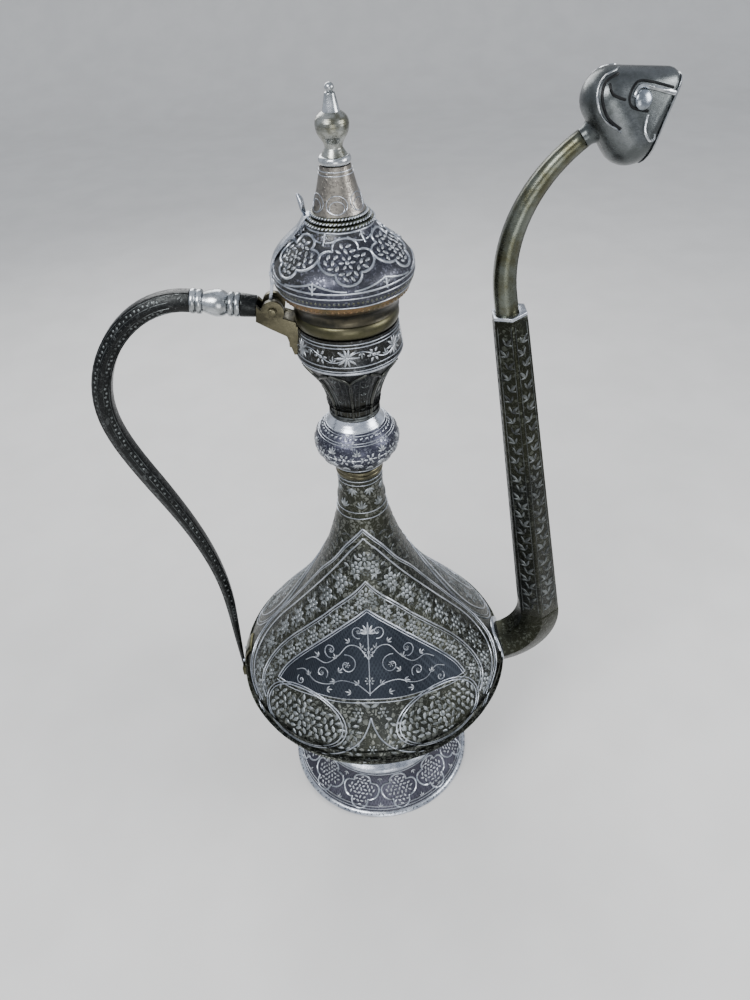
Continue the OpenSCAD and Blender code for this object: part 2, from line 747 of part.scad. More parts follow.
foot_rim();
foot_skirt();
foot_bead();
body_bowl();
body_shell();
neck_band();
neck_knop();
ribbed_neck();
neck_ring();
engraved_collar();
mouth_roll();
hinge_bracket();
bracket_rivets();
hinge_pin();
handle_socket();
handle_rings_inner();
handle_baluster();
handle_rings_outer();
handle_bar();
handle_foot_plate();
handle_rivets();
spout_flange();
spout_elbow();
spout_shaft();
spout_step_cap();
spout_gooseneck();
spout_head();
spout_lip();
lid_sleeve();
lid_edge();
lid_band();
lid_flare();
lid_dome();
lid_spire_ring();
lid_spire();
finial_collar();
finial_bulb();
finial_tip();
finial_stud();
thumb_strap();
thumb_leaf();
lid_rivets();
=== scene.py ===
"""Tall engraved coffee ewer: chased and turned pieces built round the fixed CAD frame."""

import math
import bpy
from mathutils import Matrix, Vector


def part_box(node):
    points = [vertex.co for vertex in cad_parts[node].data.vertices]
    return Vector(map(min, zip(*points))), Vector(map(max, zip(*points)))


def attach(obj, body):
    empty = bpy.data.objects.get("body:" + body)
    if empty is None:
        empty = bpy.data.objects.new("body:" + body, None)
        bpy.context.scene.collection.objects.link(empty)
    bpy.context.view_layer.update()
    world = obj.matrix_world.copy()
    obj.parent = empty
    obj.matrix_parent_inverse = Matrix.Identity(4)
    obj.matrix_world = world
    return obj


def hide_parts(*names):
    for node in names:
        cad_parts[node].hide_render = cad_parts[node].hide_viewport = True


bl_info = {
    "name": "Engraved Ewer",
    "version": (1, 0, 0),
    "blender": (4, 5, 0),
    "location": "View3D > Sidebar > Ewer",
    "description": "Builds the turned, chased and engraved pieces of a tall coffee ewer",
    "category": "Object",
}

from bisect import bisect_right

import bmesh
import bpy
from bpy.props import FloatProperty, FloatVectorProperty, IntProperty, PointerProperty
from mathutils import Matrix, Vector
from mathutils.bvhtree import BVHTree

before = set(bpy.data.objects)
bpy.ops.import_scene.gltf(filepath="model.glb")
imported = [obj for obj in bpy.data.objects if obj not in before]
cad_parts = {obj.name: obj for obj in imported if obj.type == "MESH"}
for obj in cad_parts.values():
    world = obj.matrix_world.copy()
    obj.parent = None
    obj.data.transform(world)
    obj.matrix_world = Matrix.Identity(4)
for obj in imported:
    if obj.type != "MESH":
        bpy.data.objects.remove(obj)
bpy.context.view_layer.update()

MM = 0.001
VESSEL = "vessel"
LID = "lid"
PANEL_AZ = -92.0


# ---------------------------------------------------------------- sizes and colours

class EwerSizes(bpy.types.PropertyGroup):
    """Sizes of the chased work and fineness of the turned pieces"""

    line_r: FloatProperty(
        name="Line", description="Half thickness of a chased line",
        default=0.35 * MM, min=0.1 * MM, max=1 * MM, unit="LENGTH", subtype="DISTANCE")
    relief: FloatProperty(
        name="Relief", description="Height of leaves and petals above the wall",
        default=0.5 * MM, min=0.1 * MM, max=2 * MM, unit="LENGTH", subtype="DISTANCE")
    wall: FloatProperty(
        name="Wall", description="Sheet thickness of the turned walls",
        default=1.5 * MM, min=0.8 * MM, max=3 * MM, unit="LENGTH", subtype="DISTANCE")
    round_steps: IntProperty(
        name="Steps round", description="Faces round a turned piece",
        default=192, min=48, max=384)
    lid_medallions: IntProperty(
        name="Lid medallions", description="Medallions round the dome", default=6, min=4, max=9)
    foot_medallions: IntProperty(
        name="Foot medallions", description="Medallions round the foot", default=12, min=8, max=18)
    ribs: IntProperty(
        name="Ribs", description="Ribs round the waist of the neck", default=8, min=6, max=12)


def colour_property(name, text, value):
    """A colour with its default, for the colour group."""
    return FloatVectorProperty(name=name, description=text, subtype="COLOR", size=3,
                               default=value, min=0.0, max=1.0)


class EwerColours(bpy.types.PropertyGroup):
    """Colours of the metals"""

    slate: colour_property("Slate", "Blue-grey tinned metal", (0.085, 0.10, 0.125))
    silver: colour_property("Silver", "Bright metal of lines and leaves", (0.50, 0.53, 0.58))
    olive: colour_property("Olive", "Dark olive patina", (0.060, 0.058, 0.032))
    black: colour_property("Black", "Blackened bar and spout", (0.018, 0.019, 0.019))


def sizes():
    """The size settings of the current scene."""
    return bpy.context.scene.ewer_sizes


def colours():
    """The colour settings of the current scene."""
    return bpy.context.scene.ewer_colours


# ---------------------------------------------------------------- materials

class Recipe:
    """A material's node tree, built one node at a time."""

    def __init__(self, name):
        self.material = bpy.data.materials.new(name)
        self.material.use_nodes = True
        self.tree = self.material.node_tree
        self.shader = self.tree.nodes["Principled BSDF"]
        self.shader.inputs["Metallic"].default_value = 1.0

    def node(self, kind, settings=(), **inputs):
        """A node with its settings, and its inputs set or linked by name."""
        made = self.tree.nodes.new(kind)
        for key, value in dict(settings).items():
            setattr(made, key, value)
        for key, value in inputs.items():
            self.put(made, key.replace("_", " "), value)
        return made

    def put(self, node, socket, value):
        """Sets one input of a node, or links an output to it."""
        target = node.inputs[int(socket) if socket.isdigit() else socket]
        if isinstance(value, bpy.types.NodeSocket):
            self.tree.links.new(value, target)
        else:
            target.default_value = value

    def coords(self):
        """Object coordinates, in metres."""
        return self.node("ShaderNodeTexCoord").outputs["Object"]

    def noise(self, vector, mm, detail=3.0, rough=0.55):
        """Noise whose features are about that many millimetres wide."""
        return self.node("ShaderNodeTexNoise", Vector=vector, Scale=1000.0 / mm, Detail=detail,
                         Roughness=rough)

    def ramp(self, value, low, high, to_low=0.0, to_high=1.0):
        """A value mapped from one range to another and clamped."""
        made = self.node("ShaderNodeMapRange", {"clamp": True, "interpolation_type": "SMOOTHSTEP"})
        made.inputs["From Min"].default_value = low
        made.inputs["From Max"].default_value = high
        made.inputs["To Min"].default_value = to_low
        made.inputs["To Max"].default_value = to_high
        self.tree.links.new(value, made.inputs["Value"])
        return made.outputs["Result"]

    def mix(self, factor, first, second):
        """Two colours mixed by a factor."""
        made = self.node("ShaderNodeMix", {"data_type": "RGBA"})
        self.put(made, "0", factor)
        for socket, value in ((made.inputs[6], first), (made.inputs[7], second)):
            if isinstance(value, bpy.types.NodeSocket):
                self.tree.links.new(value, socket)
            else:
                socket.default_value = (*value, 1.0)
        return made.outputs[2]

    def maths(self, operation, first, second=0.5):
        """One arithmetic step."""
        made = self.node("ShaderNodeMath", {"operation": operation})
        self.put(made, "0", first)
        self.put(made, "1", second)
        return made.outputs[0]

    def wobble(self, vector, mm, amount_mm):
        """Coordinates pushed about by noise, so that a pattern flows."""
        shift = self.node("ShaderNodeVectorMath", {"operation": "SUBTRACT"})
        self.put(shift, "0", self.noise(vector, mm, 1.0).outputs["Color"])
        shift.inputs[1].default_value = (0.5, 0.5, 0.5)
        scaled = self.node("ShaderNodeVectorMath", {"operation": "SCALE"}, Scale=amount_mm * MM * 2)
        self.put(scaled, "0", shift.outputs[0])
        moved = self.node("ShaderNodeVectorMath", {"operation": "ADD"})
        self.put(moved, "0", vector)
        self.put(moved, "1", scaled.outputs[0])
        return moved.outputs[0]

    def finish(self, colour, rough, height=None, depth_mm=0.1):
        """Colour, roughness and bump to the shader."""
        self.put(self.shader, "Base Color", colour)
        self.put(self.shader, "Roughness", rough)
        if height is not None:
            bump = self.node("ShaderNodeBump", Strength=0.7, Distance=depth_mm * MM, Height=height)
            self.put(self.shader, "Normal", bump.outputs["Normal"])
        return self.material


def leaf_figure(recipe, coords, mm, share):
    """Fine leaf-and-tendril engraving: 1 on a leaf or tendril, 0 on the ground."""
    flowing = recipe.wobble(coords, mm * 1.6, mm * 0.55)
    leaves = recipe.node("ShaderNodeTexVoronoi", {"feature": "DISTANCE_TO_EDGE"},
                         Vector=flowing, Scale=1000.0 / mm)
    cells = recipe.node("ShaderNodeTexVoronoi", {"feature": "F1"}, Vector=flowing, Scale=1000.0 / mm)
    chosen = recipe.ramp(cells.outputs["Color"], 1.0 - share, 1.0 - share + 0.08)
    blade = recipe.maths("MULTIPLY", recipe.ramp(leaves.outputs["Distance"], 0.10, 0.18), chosen)
    tendril = recipe.ramp(recipe.noise(flowing, mm * 1.1, 0.0).outputs["Fac"], 0.485, 0.5, 0.0, 1.0)
    far_side = recipe.ramp(recipe.noise(flowing, mm * 1.1, 0.0).outputs["Fac"], 0.515, 0.53, 1.0, 0.0)
    thread = recipe.maths("MULTIPLY", tendril, far_side)
    return recipe.maths("MAXIMUM", blade, recipe.maths("MULTIPLY", thread, 0.75))


def engraved_metal(name, ground, line, mm=3.2, share=0.5, rough=0.38, strength=0.8, tint=None,
                   tint_share=0.5):
    """Dark metal with fine bright engraving, worn in patches."""
    recipe = Recipe(name)
    coords = recipe.coords()
    figure = leaf_figure(recipe, coords, mm, share)
    wear = recipe.ramp(recipe.noise(coords, 26.0, 4.0).outputs["Fac"], 0.32, 0.68, 0.45, 1.0)
    base = ground
    if tint is not None:
        # Tint patches: patina on most pieces; on the bowl the warm brown tint is painted reflection of a
        # brass surface below.
        stain_and_reflection = recipe.ramp(recipe.noise(coords, 60.0, 3.0).outputs["Fac"], 0.35, 0.65, 0.0, tint_share * 2)
        base = recipe.mix(stain_and_reflection, ground, tint)
    shown = recipe.maths("MULTIPLY", recipe.maths("MULTIPLY", figure, wear), strength)
    colour = recipe.mix(shown, base, line)
    grain = recipe.noise(coords, 1.2, 4.0).outputs["Fac"]
    rubbed = recipe.ramp(grain, 0.3, 0.7, rough - 0.08, rough + 0.12)
    relief = recipe.maths("ADD", figure, recipe.maths("MULTIPLY", grain, 0.25))
    return recipe.finish(colour, rubbed, relief, 0.16)


def plain_metal(name, colour, second, rough=0.22, mm=9.0, streak=0.5, depth=0.05):
    """Polished or patinated metal with clouds of a second colour and fine scratches."""
    recipe = Recipe(name)
    coords = recipe.coords()
    clouds = recipe.ramp(recipe.noise(coords, mm, 5.0, 0.65).outputs["Fac"], 0.38, 0.66, 0.0, streak)
    mixed = recipe.mix(clouds, colour, second)
    stretched = recipe.node("ShaderNodeMapping", Vector=coords, Scale=(1.0, 1.0, 7.0))
    scratches = recipe.noise(stretched.outputs["Vector"], 1.6, 6.0, 0.7).outputs["Fac"]
    rubbed = recipe.ramp(scratches, 0.3, 0.75, max(rough - 0.08, 0.06), rough + 0.14)
    return recipe.finish(mixed, rubbed, scratches, depth)


def hatched_metal(name, ground, line, mm=1.1, rough=0.42):
    """Slate-coloured ground with fine crossed hatching."""
    recipe = Recipe(name)
    coords = recipe.coords()
    lines = []
    for turn in (0.8, -0.8):
        turned = recipe.node("ShaderNodeMapping", Vector=coords, Rotation=(0.0, turn, 0.35 * turn))
        wave = recipe.node("ShaderNodeTexWave", {"bands_direction": "X"}, Vector=turned.outputs["Vector"],
                           Scale=1000.0 / (mm * 6.3), Distortion=0.6, Detail=1.0)
        lines.append(recipe.ramp(wave.outputs["Fac"], 0.55, 0.9))
    hatch = recipe.maths("MAXIMUM", lines[0], lines[1])
    patch = recipe.ramp(recipe.noise(coords, 18.0, 4.0).outputs["Fac"], 0.3, 0.7, 0.15, 0.5)
    colour = recipe.mix(recipe.maths("MULTIPLY", hatch, patch), ground, line)
    grain = recipe.noise(coords, 2.0, 4.0).outputs["Fac"]
    rubbed = recipe.ramp(grain, 0.3, 0.7, rough - 0.08, rough + 0.1)
    return recipe.finish(colour, rubbed, hatch, 0.08)


def make_materials():
    """All finishes, by the name that the operators use."""
    c = colours()
    return {
        "body": engraved_metal("body_engraving", (0.026, 0.028, 0.026), (0.24, 0.25, 0.225), 2.9, 0.55,
                               0.36, 0.62, (0.040, 0.041, 0.026), 0.3),
        # Bowl: the warm brown cast of ground, lines and tint patches is painted reflection of a brass surface
        # below the downward-facing bowl; the dark ground and engraving are the metal's own.
        "belly": engraved_metal("belly_engraving_painted_reflection", (0.045, 0.038, 0.030), (0.30, 0.26, 0.22), 2.8, 0.55,
                                0.36, 0.6, (0.09, 0.062, 0.04), 0.5),
        "neck_rib": plain_metal("rib_dark_silver",
                                (0.075, 0.078, 0.072), (0.022, 0.022, 0.018), 0.28, 8.0, 0.8),
        "worn_edge": plain_metal("worn_edge", (0.13, 0.14, 0.14), tuple(c.black), 0.36, 7.0, 0.9),
        "olive_silver": plain_metal("olive_silver", (0.115, 0.125, 0.105), tuple(c.olive), 0.28, 14.0, 0.9),
        "dark_edge": plain_metal("dark_edge", (0.028, 0.027, 0.022), (0.075, 0.066, 0.045), 0.34, 9.0, 0.7),
        "finial": plain_metal("finial_polish", (0.34, 0.35, 0.33), (0.12, 0.118, 0.088), 0.26, 11.0, 1.0),
        "field": hatched_metal("slate_hatching", (0.020, 0.024, 0.031), (0.050, 0.058, 0.070), 0.9),
        "old_brass": plain_metal("old_brass", (0.105, 0.096, 0.062), (0.040, 0.037, 0.025), 0.32, 9.0, 0.9),
        "knop_ground": engraved_metal("knop_engraving", (0.050, 0.052, 0.072), tuple(c.silver), 2.0, 0.5,
                                      0.32, 0.35),
        "line": plain_metal("chased_silver", tuple(c.silver), tuple(c.slate), 0.3, 12.0, 0.45),
        "leaf": plain_metal("leaf_silver", (0.42, 0.44, 0.47), (0.13, 0.14, 0.145), 0.32, 16.0, 0.7),
        "panel_leaf": plain_metal("panel_leaf", (0.27, 0.29, 0.30), (0.085, 0.092, 0.09), 0.34, 13.0, 0.9),
        "foot": hatched_metal("foot_ground", (0.050, 0.050, 0.065), (0.13, 0.13, 0.16), 0.9),
        "trim": plain_metal("tinned_trim", (0.50, 0.53, 0.58), (0.20, 0.22, 0.26), 0.28, 8.0, 0.8),
        "polish": plain_metal("polished_turnings", (0.50, 0.52, 0.54), (0.17, 0.18, 0.18), 0.2, 9.0, 0.8),
        "neck": engraved_metal("neck_engraving", (0.026, 0.027, 0.030), (0.20, 0.21, 0.22), 1.8, 0.4, 0.34,
                               0.35, (0.035, 0.034, 0.024), 0.4),
        "spout": engraved_metal("spout_engraving", (0.012, 0.013, 0.012), (0.11, 0.12, 0.10), 2.6, 0.4,
                                0.34, 0.5, (0.026, 0.027, 0.016), 0.35),
        "bar": engraved_metal("bar_black", tuple(c.black), (0.16, 0.17, 0.17), 3.2, 0.25, 0.32, 0.3),
        "olive": plain_metal("olive_patina", tuple(c.olive), (0.085, 0.078, 0.050), 0.34, 9.0, 0.8),
        "copper": plain_metal("worn_copper", (0.17, 0.105, 0.055), (0.075, 0.065, 0.038), 0.32, 12.0, 0.9),
        "lid": engraved_metal("lid_engraving", (0.045, 0.047, 0.062), (0.26, 0.27, 0.34), 1.7, 0.45, 0.36,
                              0.4, (0.05, 0.05, 0.04), 0.4),
        "pewter": engraved_metal("pewter_spire", (0.30, 0.28, 0.27), (0.10, 0.09, 0.085), 3.0, 0.35,
                                 0.34, 0.8, (0.20, 0.185, 0.16), 0.6),
        "head": plain_metal("head_blue_grey", (0.30, 0.33, 0.37), (0.085, 0.092, 0.09), 0.22, 11.0, 1.0),
        "hood": plain_metal("hood_dark", (0.075, 0.082, 0.082), (0.15, 0.16, 0.165), 0.3, 13.0, 0.8),
        "knop": plain_metal("knop_polish", (0.60, 0.63, 0.68), (0.30, 0.33, 0.40), 0.2, 12.0, 0.6),
        "inside": plain_metal("tinned_inside", (0.30, 0.30, 0.29), (0.12, 0.11, 0.09), 0.45, 9.0, 0.8),
        "cut": plain_metal("cut_line_dark", (0.016, 0.017, 0.018), (0.03, 0.03, 0.03), 0.5, 9.0, 0.5),
    }


FINISHES = {}


# ---------------------------------------------------------------- outlines and places on them

def outline(*nodes):
    """Rows of (radius, height) of turned CAD pieces, from the points that face away from the axis."""
    found = {}
    for node in nodes:
        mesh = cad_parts[node].data
        for face in mesh.polygons:
            middle = face.center
            outwards = middle.x * face.normal.x + middle.y * face.normal.y
            if outwards < 0.04 * math.hypot(middle.x, middle.y):
                continue
            for index in face.vertices:
                spot = mesh.vertices[index].co
                z = round(spot.z, 5)
                found[z] = max(found.get(z, 0.0), math.hypot(spot.x, spot.y))
    return [(r, z) for z, r in sorted(found.items())]


def cut_row(row, low, high):
    """The stretch of an outline between two heights."""
    wall = Turned(row)
    inner = [(r, z) for r, z in row if low + 0.2 * MM < z < high - 0.2 * MM]
    low, high = max(low, row[0][1]), min(high, row[-1][1])
    return [(wall.radius(low), low)] + inner + [(wall.radius(high), high)]


def smooth_row(row, parts=3):
    """A row with extra points between its own, on a smooth curve through them."""
    made = []
    last = len(row) - 1
    for i in range(last):
        a, b, c, d = (row[max(i - 1, 0)], row[i], row[i + 1], row[min(i + 2, last)])
        for k in range(parts):
            t = k / parts
            made.append(tuple(
                0.5 * (2 * b[n] + (c[n] - a[n]) * t + (2 * a[n] - 5 * b[n] + 4 * c[n] - d[n]) * t * t
                       + (3 * b[n] - a[n] - 3 * c[n] + d[n]) * t ** 3)
                for n in (0, 1)))
    made.append(row[-1])
    return made


class Turned:
    """A turned wall, and places on it by azimuth in degrees and height in metres."""

    def __init__(self, row):
        self.row = row
        self.heights = [z for _, z in row]

    def radius(self, z):
        """Radius at a height."""
        i = min(max(bisect_right(self.heights, z), 1), len(self.row) - 1)
        (r0, z0), (r1, z1) = self.row[i - 1], self.row[i]
        share = 0.0 if z1 == z0 else min(max((z - z0) / (z1 - z0), 0.0), 1.0)
        return r0 + (r1 - r0) * share

    def slope(self, z):
        """Unit tangent (radial part, upward part) at a height."""
        step = 0.8 * MM
        low, high = max(z - step, self.heights[0]), min(z + step, self.heights[-1])
        dr, dz = self.radius(high) - self.radius(low), high - low
        size = math.hypot(dr, dz)
        return dr / size, dz / size

    def axes(self, az, z, lift=0.0):
        """Matrix of a place: X round the pot, Y up the wall, Z out of it."""
        turn = math.radians(az)
        radial = Vector((math.cos(turn), math.sin(turn), 0.0))
        round_it = Vector((-math.sin(turn), math.cos(turn), 0.0))
        dr, dz = self.slope(z)
        up = radial * dr + Vector((0.0, 0.0, dz))
        out = round_it.cross(up)
        spot = radial * self.radius(z) + Vector((0.0, 0.0, z)) + out * lift
        made = Matrix((round_it, up, out)).transposed().to_4x4()
        made.translation = spot
        return made

    def point(self, az, z, lift=0.0):
        """A point on the wall, lifted off it."""
        return self.axes(az, z, lift).translation

    def beside(self, az, z, x, y):
        """(azimuth, height) of the place x round and y up the wall from another."""
        higher = z + y * self.slope(z)[1]
        return az + math.degrees(x / max(self.radius(higher), 4 * MM)), higher


# ---------------------------------------------------------------- meshes

def new_piece(name, bm, finish, body, smooth_angle=40.0):
    """A finished piece from a bmesh, with its material, slot and body."""
    if isinstance(bm, Stamps):
        bm = bm.build()
    mesh = bpy.data.meshes.new(name)
    bm.to_mesh(mesh)
    bm.free()
    mesh.materials.append(FINISHES[finish])
    mesh.shade_smooth()
    mesh.set_sharp_from_angle(angle=math.radians(smooth_angle))
    piece = bpy.data.objects.new(name, mesh)
    bpy.context.scene.collection.objects.link(piece)
    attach(piece, body)
    return piece


def turned_piece(name, row, finish, body, replaced=(), closed=False, steps=None):
    """A piece spun round the pot's axis from an outline; a closed outline is a full section."""
    bm = bmesh.new()
    verts = [bm.verts.new((r, 0.0, z)) for r, z in row]
    pairs = list(zip(verts, verts[1:]))
    if closed:
        pairs.append((verts[-1], verts[0]))
    edges = [bm.edges.new(pair) for pair in pairs]
    bmesh.ops.spin(bm, geom=verts + edges, cent=(0, 0, 0), axis=(0, 0, 1), angle=math.tau,
                   steps=steps or sizes().round_steps, use_merge=True, use_duplicate=False)
    bmesh.ops.remove_doubles(bm, verts=bm.verts, dist=1e-6)
    bmesh.ops.recalc_face_normals(bm, faces=bm.faces)
    piece = new_piece(name, bm, finish, body)
    if replaced:
        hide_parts(*replaced)
    return piece


def section(row, wall):
    """A closed section: an outline and its inner side, a wall's thickness in."""
    inner = []
    for i, (r, z) in enumerate(row):
        (r0, z0), (r1, z1) = row[max(i - 1, 0)], row[min(i + 1, len(row) - 1)]
        size = math.hypot(r1 - r0, z1 - z0) or 1.0
        inner.append((max(r - wall * (z1 - z0) / size, 1 * MM), z + wall * (r1 - r0) / size))
    inner[0] = (inner[0][0], row[0][1])
    inner[-1] = (inner[-1][0], row[-1][1])
    return row + inner[::-1]


def chased_lines(name, paths, finish, body, radius=None, closed=False):
    """Thin raised lines along paths of points."""
    data = bpy.data.curves.new(name, "CURVE")
    data.dimensions = "3D"
    data.bevel_depth = radius or sizes().line_r
    data.bevel_resolution = 1
    data.use_fill_caps = True
    for path in paths:
        spline = data.splines.new("POLY")
        spline.points.add(len(path) - 1)
        spline.points.foreach_set("co", [v for p in path for v in (*p, 1.0)])
        spline.use_cyclic_u = closed
    drawn = bpy.data.objects.new(name + "_curve", data)
    bpy.context.scene.collection.objects.link(drawn)
    bpy.context.view_layer.update()
    mesh = bpy.data.meshes.new_from_object(drawn.evaluated_get(bpy.context.evaluated_depsgraph_get()))
    bpy.data.objects.remove(drawn)
    bpy.data.curves.remove(data)
    bm = bmesh.new()
    bm.from_mesh(mesh)
    bpy.data.meshes.remove(mesh)
    return new_piece(name, bm, finish, body, 60.0)


class Stamps:
    """Places of many small raised beads and leaves that become one piece."""

    def __init__(self):
        self.places = {"bead": [], "leaf": []}

    def unit(self, kind):
        """A half ball, drawn out to two points for a leaf."""
        bm = bmesh.new()
        bmesh.ops.create_uvsphere(bm, u_segments=8, v_segments=6, radius=1.0)
        bmesh.ops.bisect_plane(bm, geom=bm.verts[:] + bm.edges[:] + bm.faces[:], plane_co=(0, 0, -0.3),
                               plane_no=(0, 0, 1), clear_inner=True)
        bmesh.ops.holes_fill(bm, edges=[e for e in bm.edges if e.is_boundary], sides=0)
        if kind == "leaf":
            for vert in bm.verts:
                vert.co.y *= math.sqrt(max(1.0 - vert.co.x ** 2, 0.0))
            bmesh.ops.remove_doubles(bm, verts=bm.verts, dist=1e-3)
        mesh = bpy.data.meshes.new(kind)
        bm.to_mesh(mesh)
        bm.free()
        return mesh

    def build(self):
        """One bmesh with every stamp."""
        bm = bmesh.new()
        for kind, places in self.places.items():
            unit = self.unit(kind)
            for place in places:
                copy = unit.copy()
                copy.transform(place)
                bm.from_mesh(copy)
                bpy.data.meshes.remove(copy)
            bpy.data.meshes.remove(unit)
        return bm


def dome(stamps, place, length, width, height, turn=0.0, kind="bead"):
    """A small raised bead or leaf, half sunk at a place."""
    shape = Matrix.Diagonal((length / 2, width / 2, height, 1.0))
    stamps.places[kind].append(place @ Matrix.Rotation(turn, 4, "Z") @ shape)


def leaf_at(bm, wall, az, z, x, y, length, width, turn, height=None):
    """A leaf that starts at (x, y) beside a place and points along turn, in radians."""
    middle = (x + math.cos(turn) * length / 2, y + math.sin(turn) * length / 2)
    place = wall.axes(*wall.beside(az, z, *middle))
    dome(bm, place, length, width, height or sizes().relief, turn, "leaf")


def flower(bm, wall, az, z, size, petals=6, turn=0.0):
    """A rosette: a centre bead with petals round it."""
    dome(bm, wall.axes(az, z), size * 0.3, size * 0.3, sizes().relief * 1.3)
    for k in range(petals):
        leaf_at(bm, wall, az, z, 0.18 * size * math.cos(turn + math.tau * k / petals),
                0.18 * size * math.sin(turn + math.tau * k / petals), size * 0.34, size * 0.2,
                turn + math.tau * k / petals)


def grapes(bm, wall, az, z, size, turn=0.0):
    """A bunch of seven round beads."""
    bead = size * 0.31
    dome(bm, wall.axes(az, z), bead, bead, sizes().relief * 1.2)
    for k in range(6):
        angle = turn + math.tau * k / 6
        spot = wall.beside(az, z, bead * 1.05 * math.cos(angle), bead * 1.05 * math.sin(angle))
        dome(bm, wall.axes(*spot), bead, bead, sizes().relief * 1.1)


def spray(bm, wall, az, z, size, turn, leaves=5, spread=2.2):
    """A fan of leaves that open from one place."""
    for k in range(leaves):
        angle = turn + spread * (k / (leaves - 1) - 0.5)
        long = size * (1.0 - 0.28 * abs(k - (leaves - 1) / 2) / ((leaves - 1) / 2))
        leaf_at(bm, wall, az, z, 0.0, 0.0, long, size * 0.24, angle)


def foliage(stamps, wall, az, z, half_wide, half_high, inside, gap, swirl=1.0):
    """Leaves that fill a shape beside a place and turn with a swirl round it."""
    for i in range(-int(half_wide / gap), int(half_wide / gap) + 1):
        for j in range(-int(half_high / gap / 0.86), int(half_high / gap / 0.86) + 1):
            x, y = (i + 0.5 * (j % 2)) * gap, j * gap * 0.86
            if not inside(x, y):
                continue
            turn = swirl * (math.atan2(y, x) + 1.9) + 0.9 * math.sin(1.7 * i + 2.3 * j)
            leaf_at(stamps, wall, az, z, x - 0.45 * gap * math.cos(turn), y - 0.45 * gap * math.sin(turn),
                    gap * 0.98, gap * 0.52, turn)


def level_ring(wall, z, lift, steps=180):
    """A level line all round a wall."""
    return [wall.point(360.0 * k / steps, z, lift) for k in range(steps)]


def lobe_reach(angle):
    """Reach of a four-lobed medallion of size 1 in a direction."""
    near, lobe = 0.54, 0.46
    off = (angle + math.pi / 4) % (math.pi / 2) - math.pi / 4
    return near * math.cos(off) + math.sqrt(lobe ** 2 - (near * math.sin(off)) ** 2)


def lobed(size, wide=1.0, steps=64):
    """Points (x, y) of a four-lobed medallion."""
    angles = [math.tau * k / steps for k in range(steps)]
    return [(size * wide * lobe_reach(t) * math.cos(t), size * lobe_reach(t) * math.sin(t)) for t in angles]


def in_lobes(x, y, size, wide):
    """Whether a place lies inside a four-lobed medallion."""
    return math.hypot(x / wide, y) < size * lobe_reach(math.atan2(y, x / wide))


def lobed_path(wall, az, z, size, lift, wide=1.0):
    """A four-lobed medallion drawn on a wall."""
    return [wall.point(*wall.beside(az, z, x, y), lift) for x, y in lobed(size, wide)]


def curl(wall, az, z, size, start, turns, flip=1.0, lift=0.0, steps=26):
    """A spiral tendril on a wall that winds in to a place."""
    made = []
    for k in range(steps):
        t = k / (steps - 1)
        angle = start + flip * turns * math.tau * t
        reach = size * (1.0 - 0.86 * t)
        made.append(wall.point(*wall.beside(az, z, reach * math.cos(angle), reach * math.sin(angle)), lift))
    return made


def between(low, high, count):
    """Evenly spaced values, ends included."""
    return [low + (high - low) * k / (count - 1) for k in range(count)]


# ---------------------------------------------------------------- stage

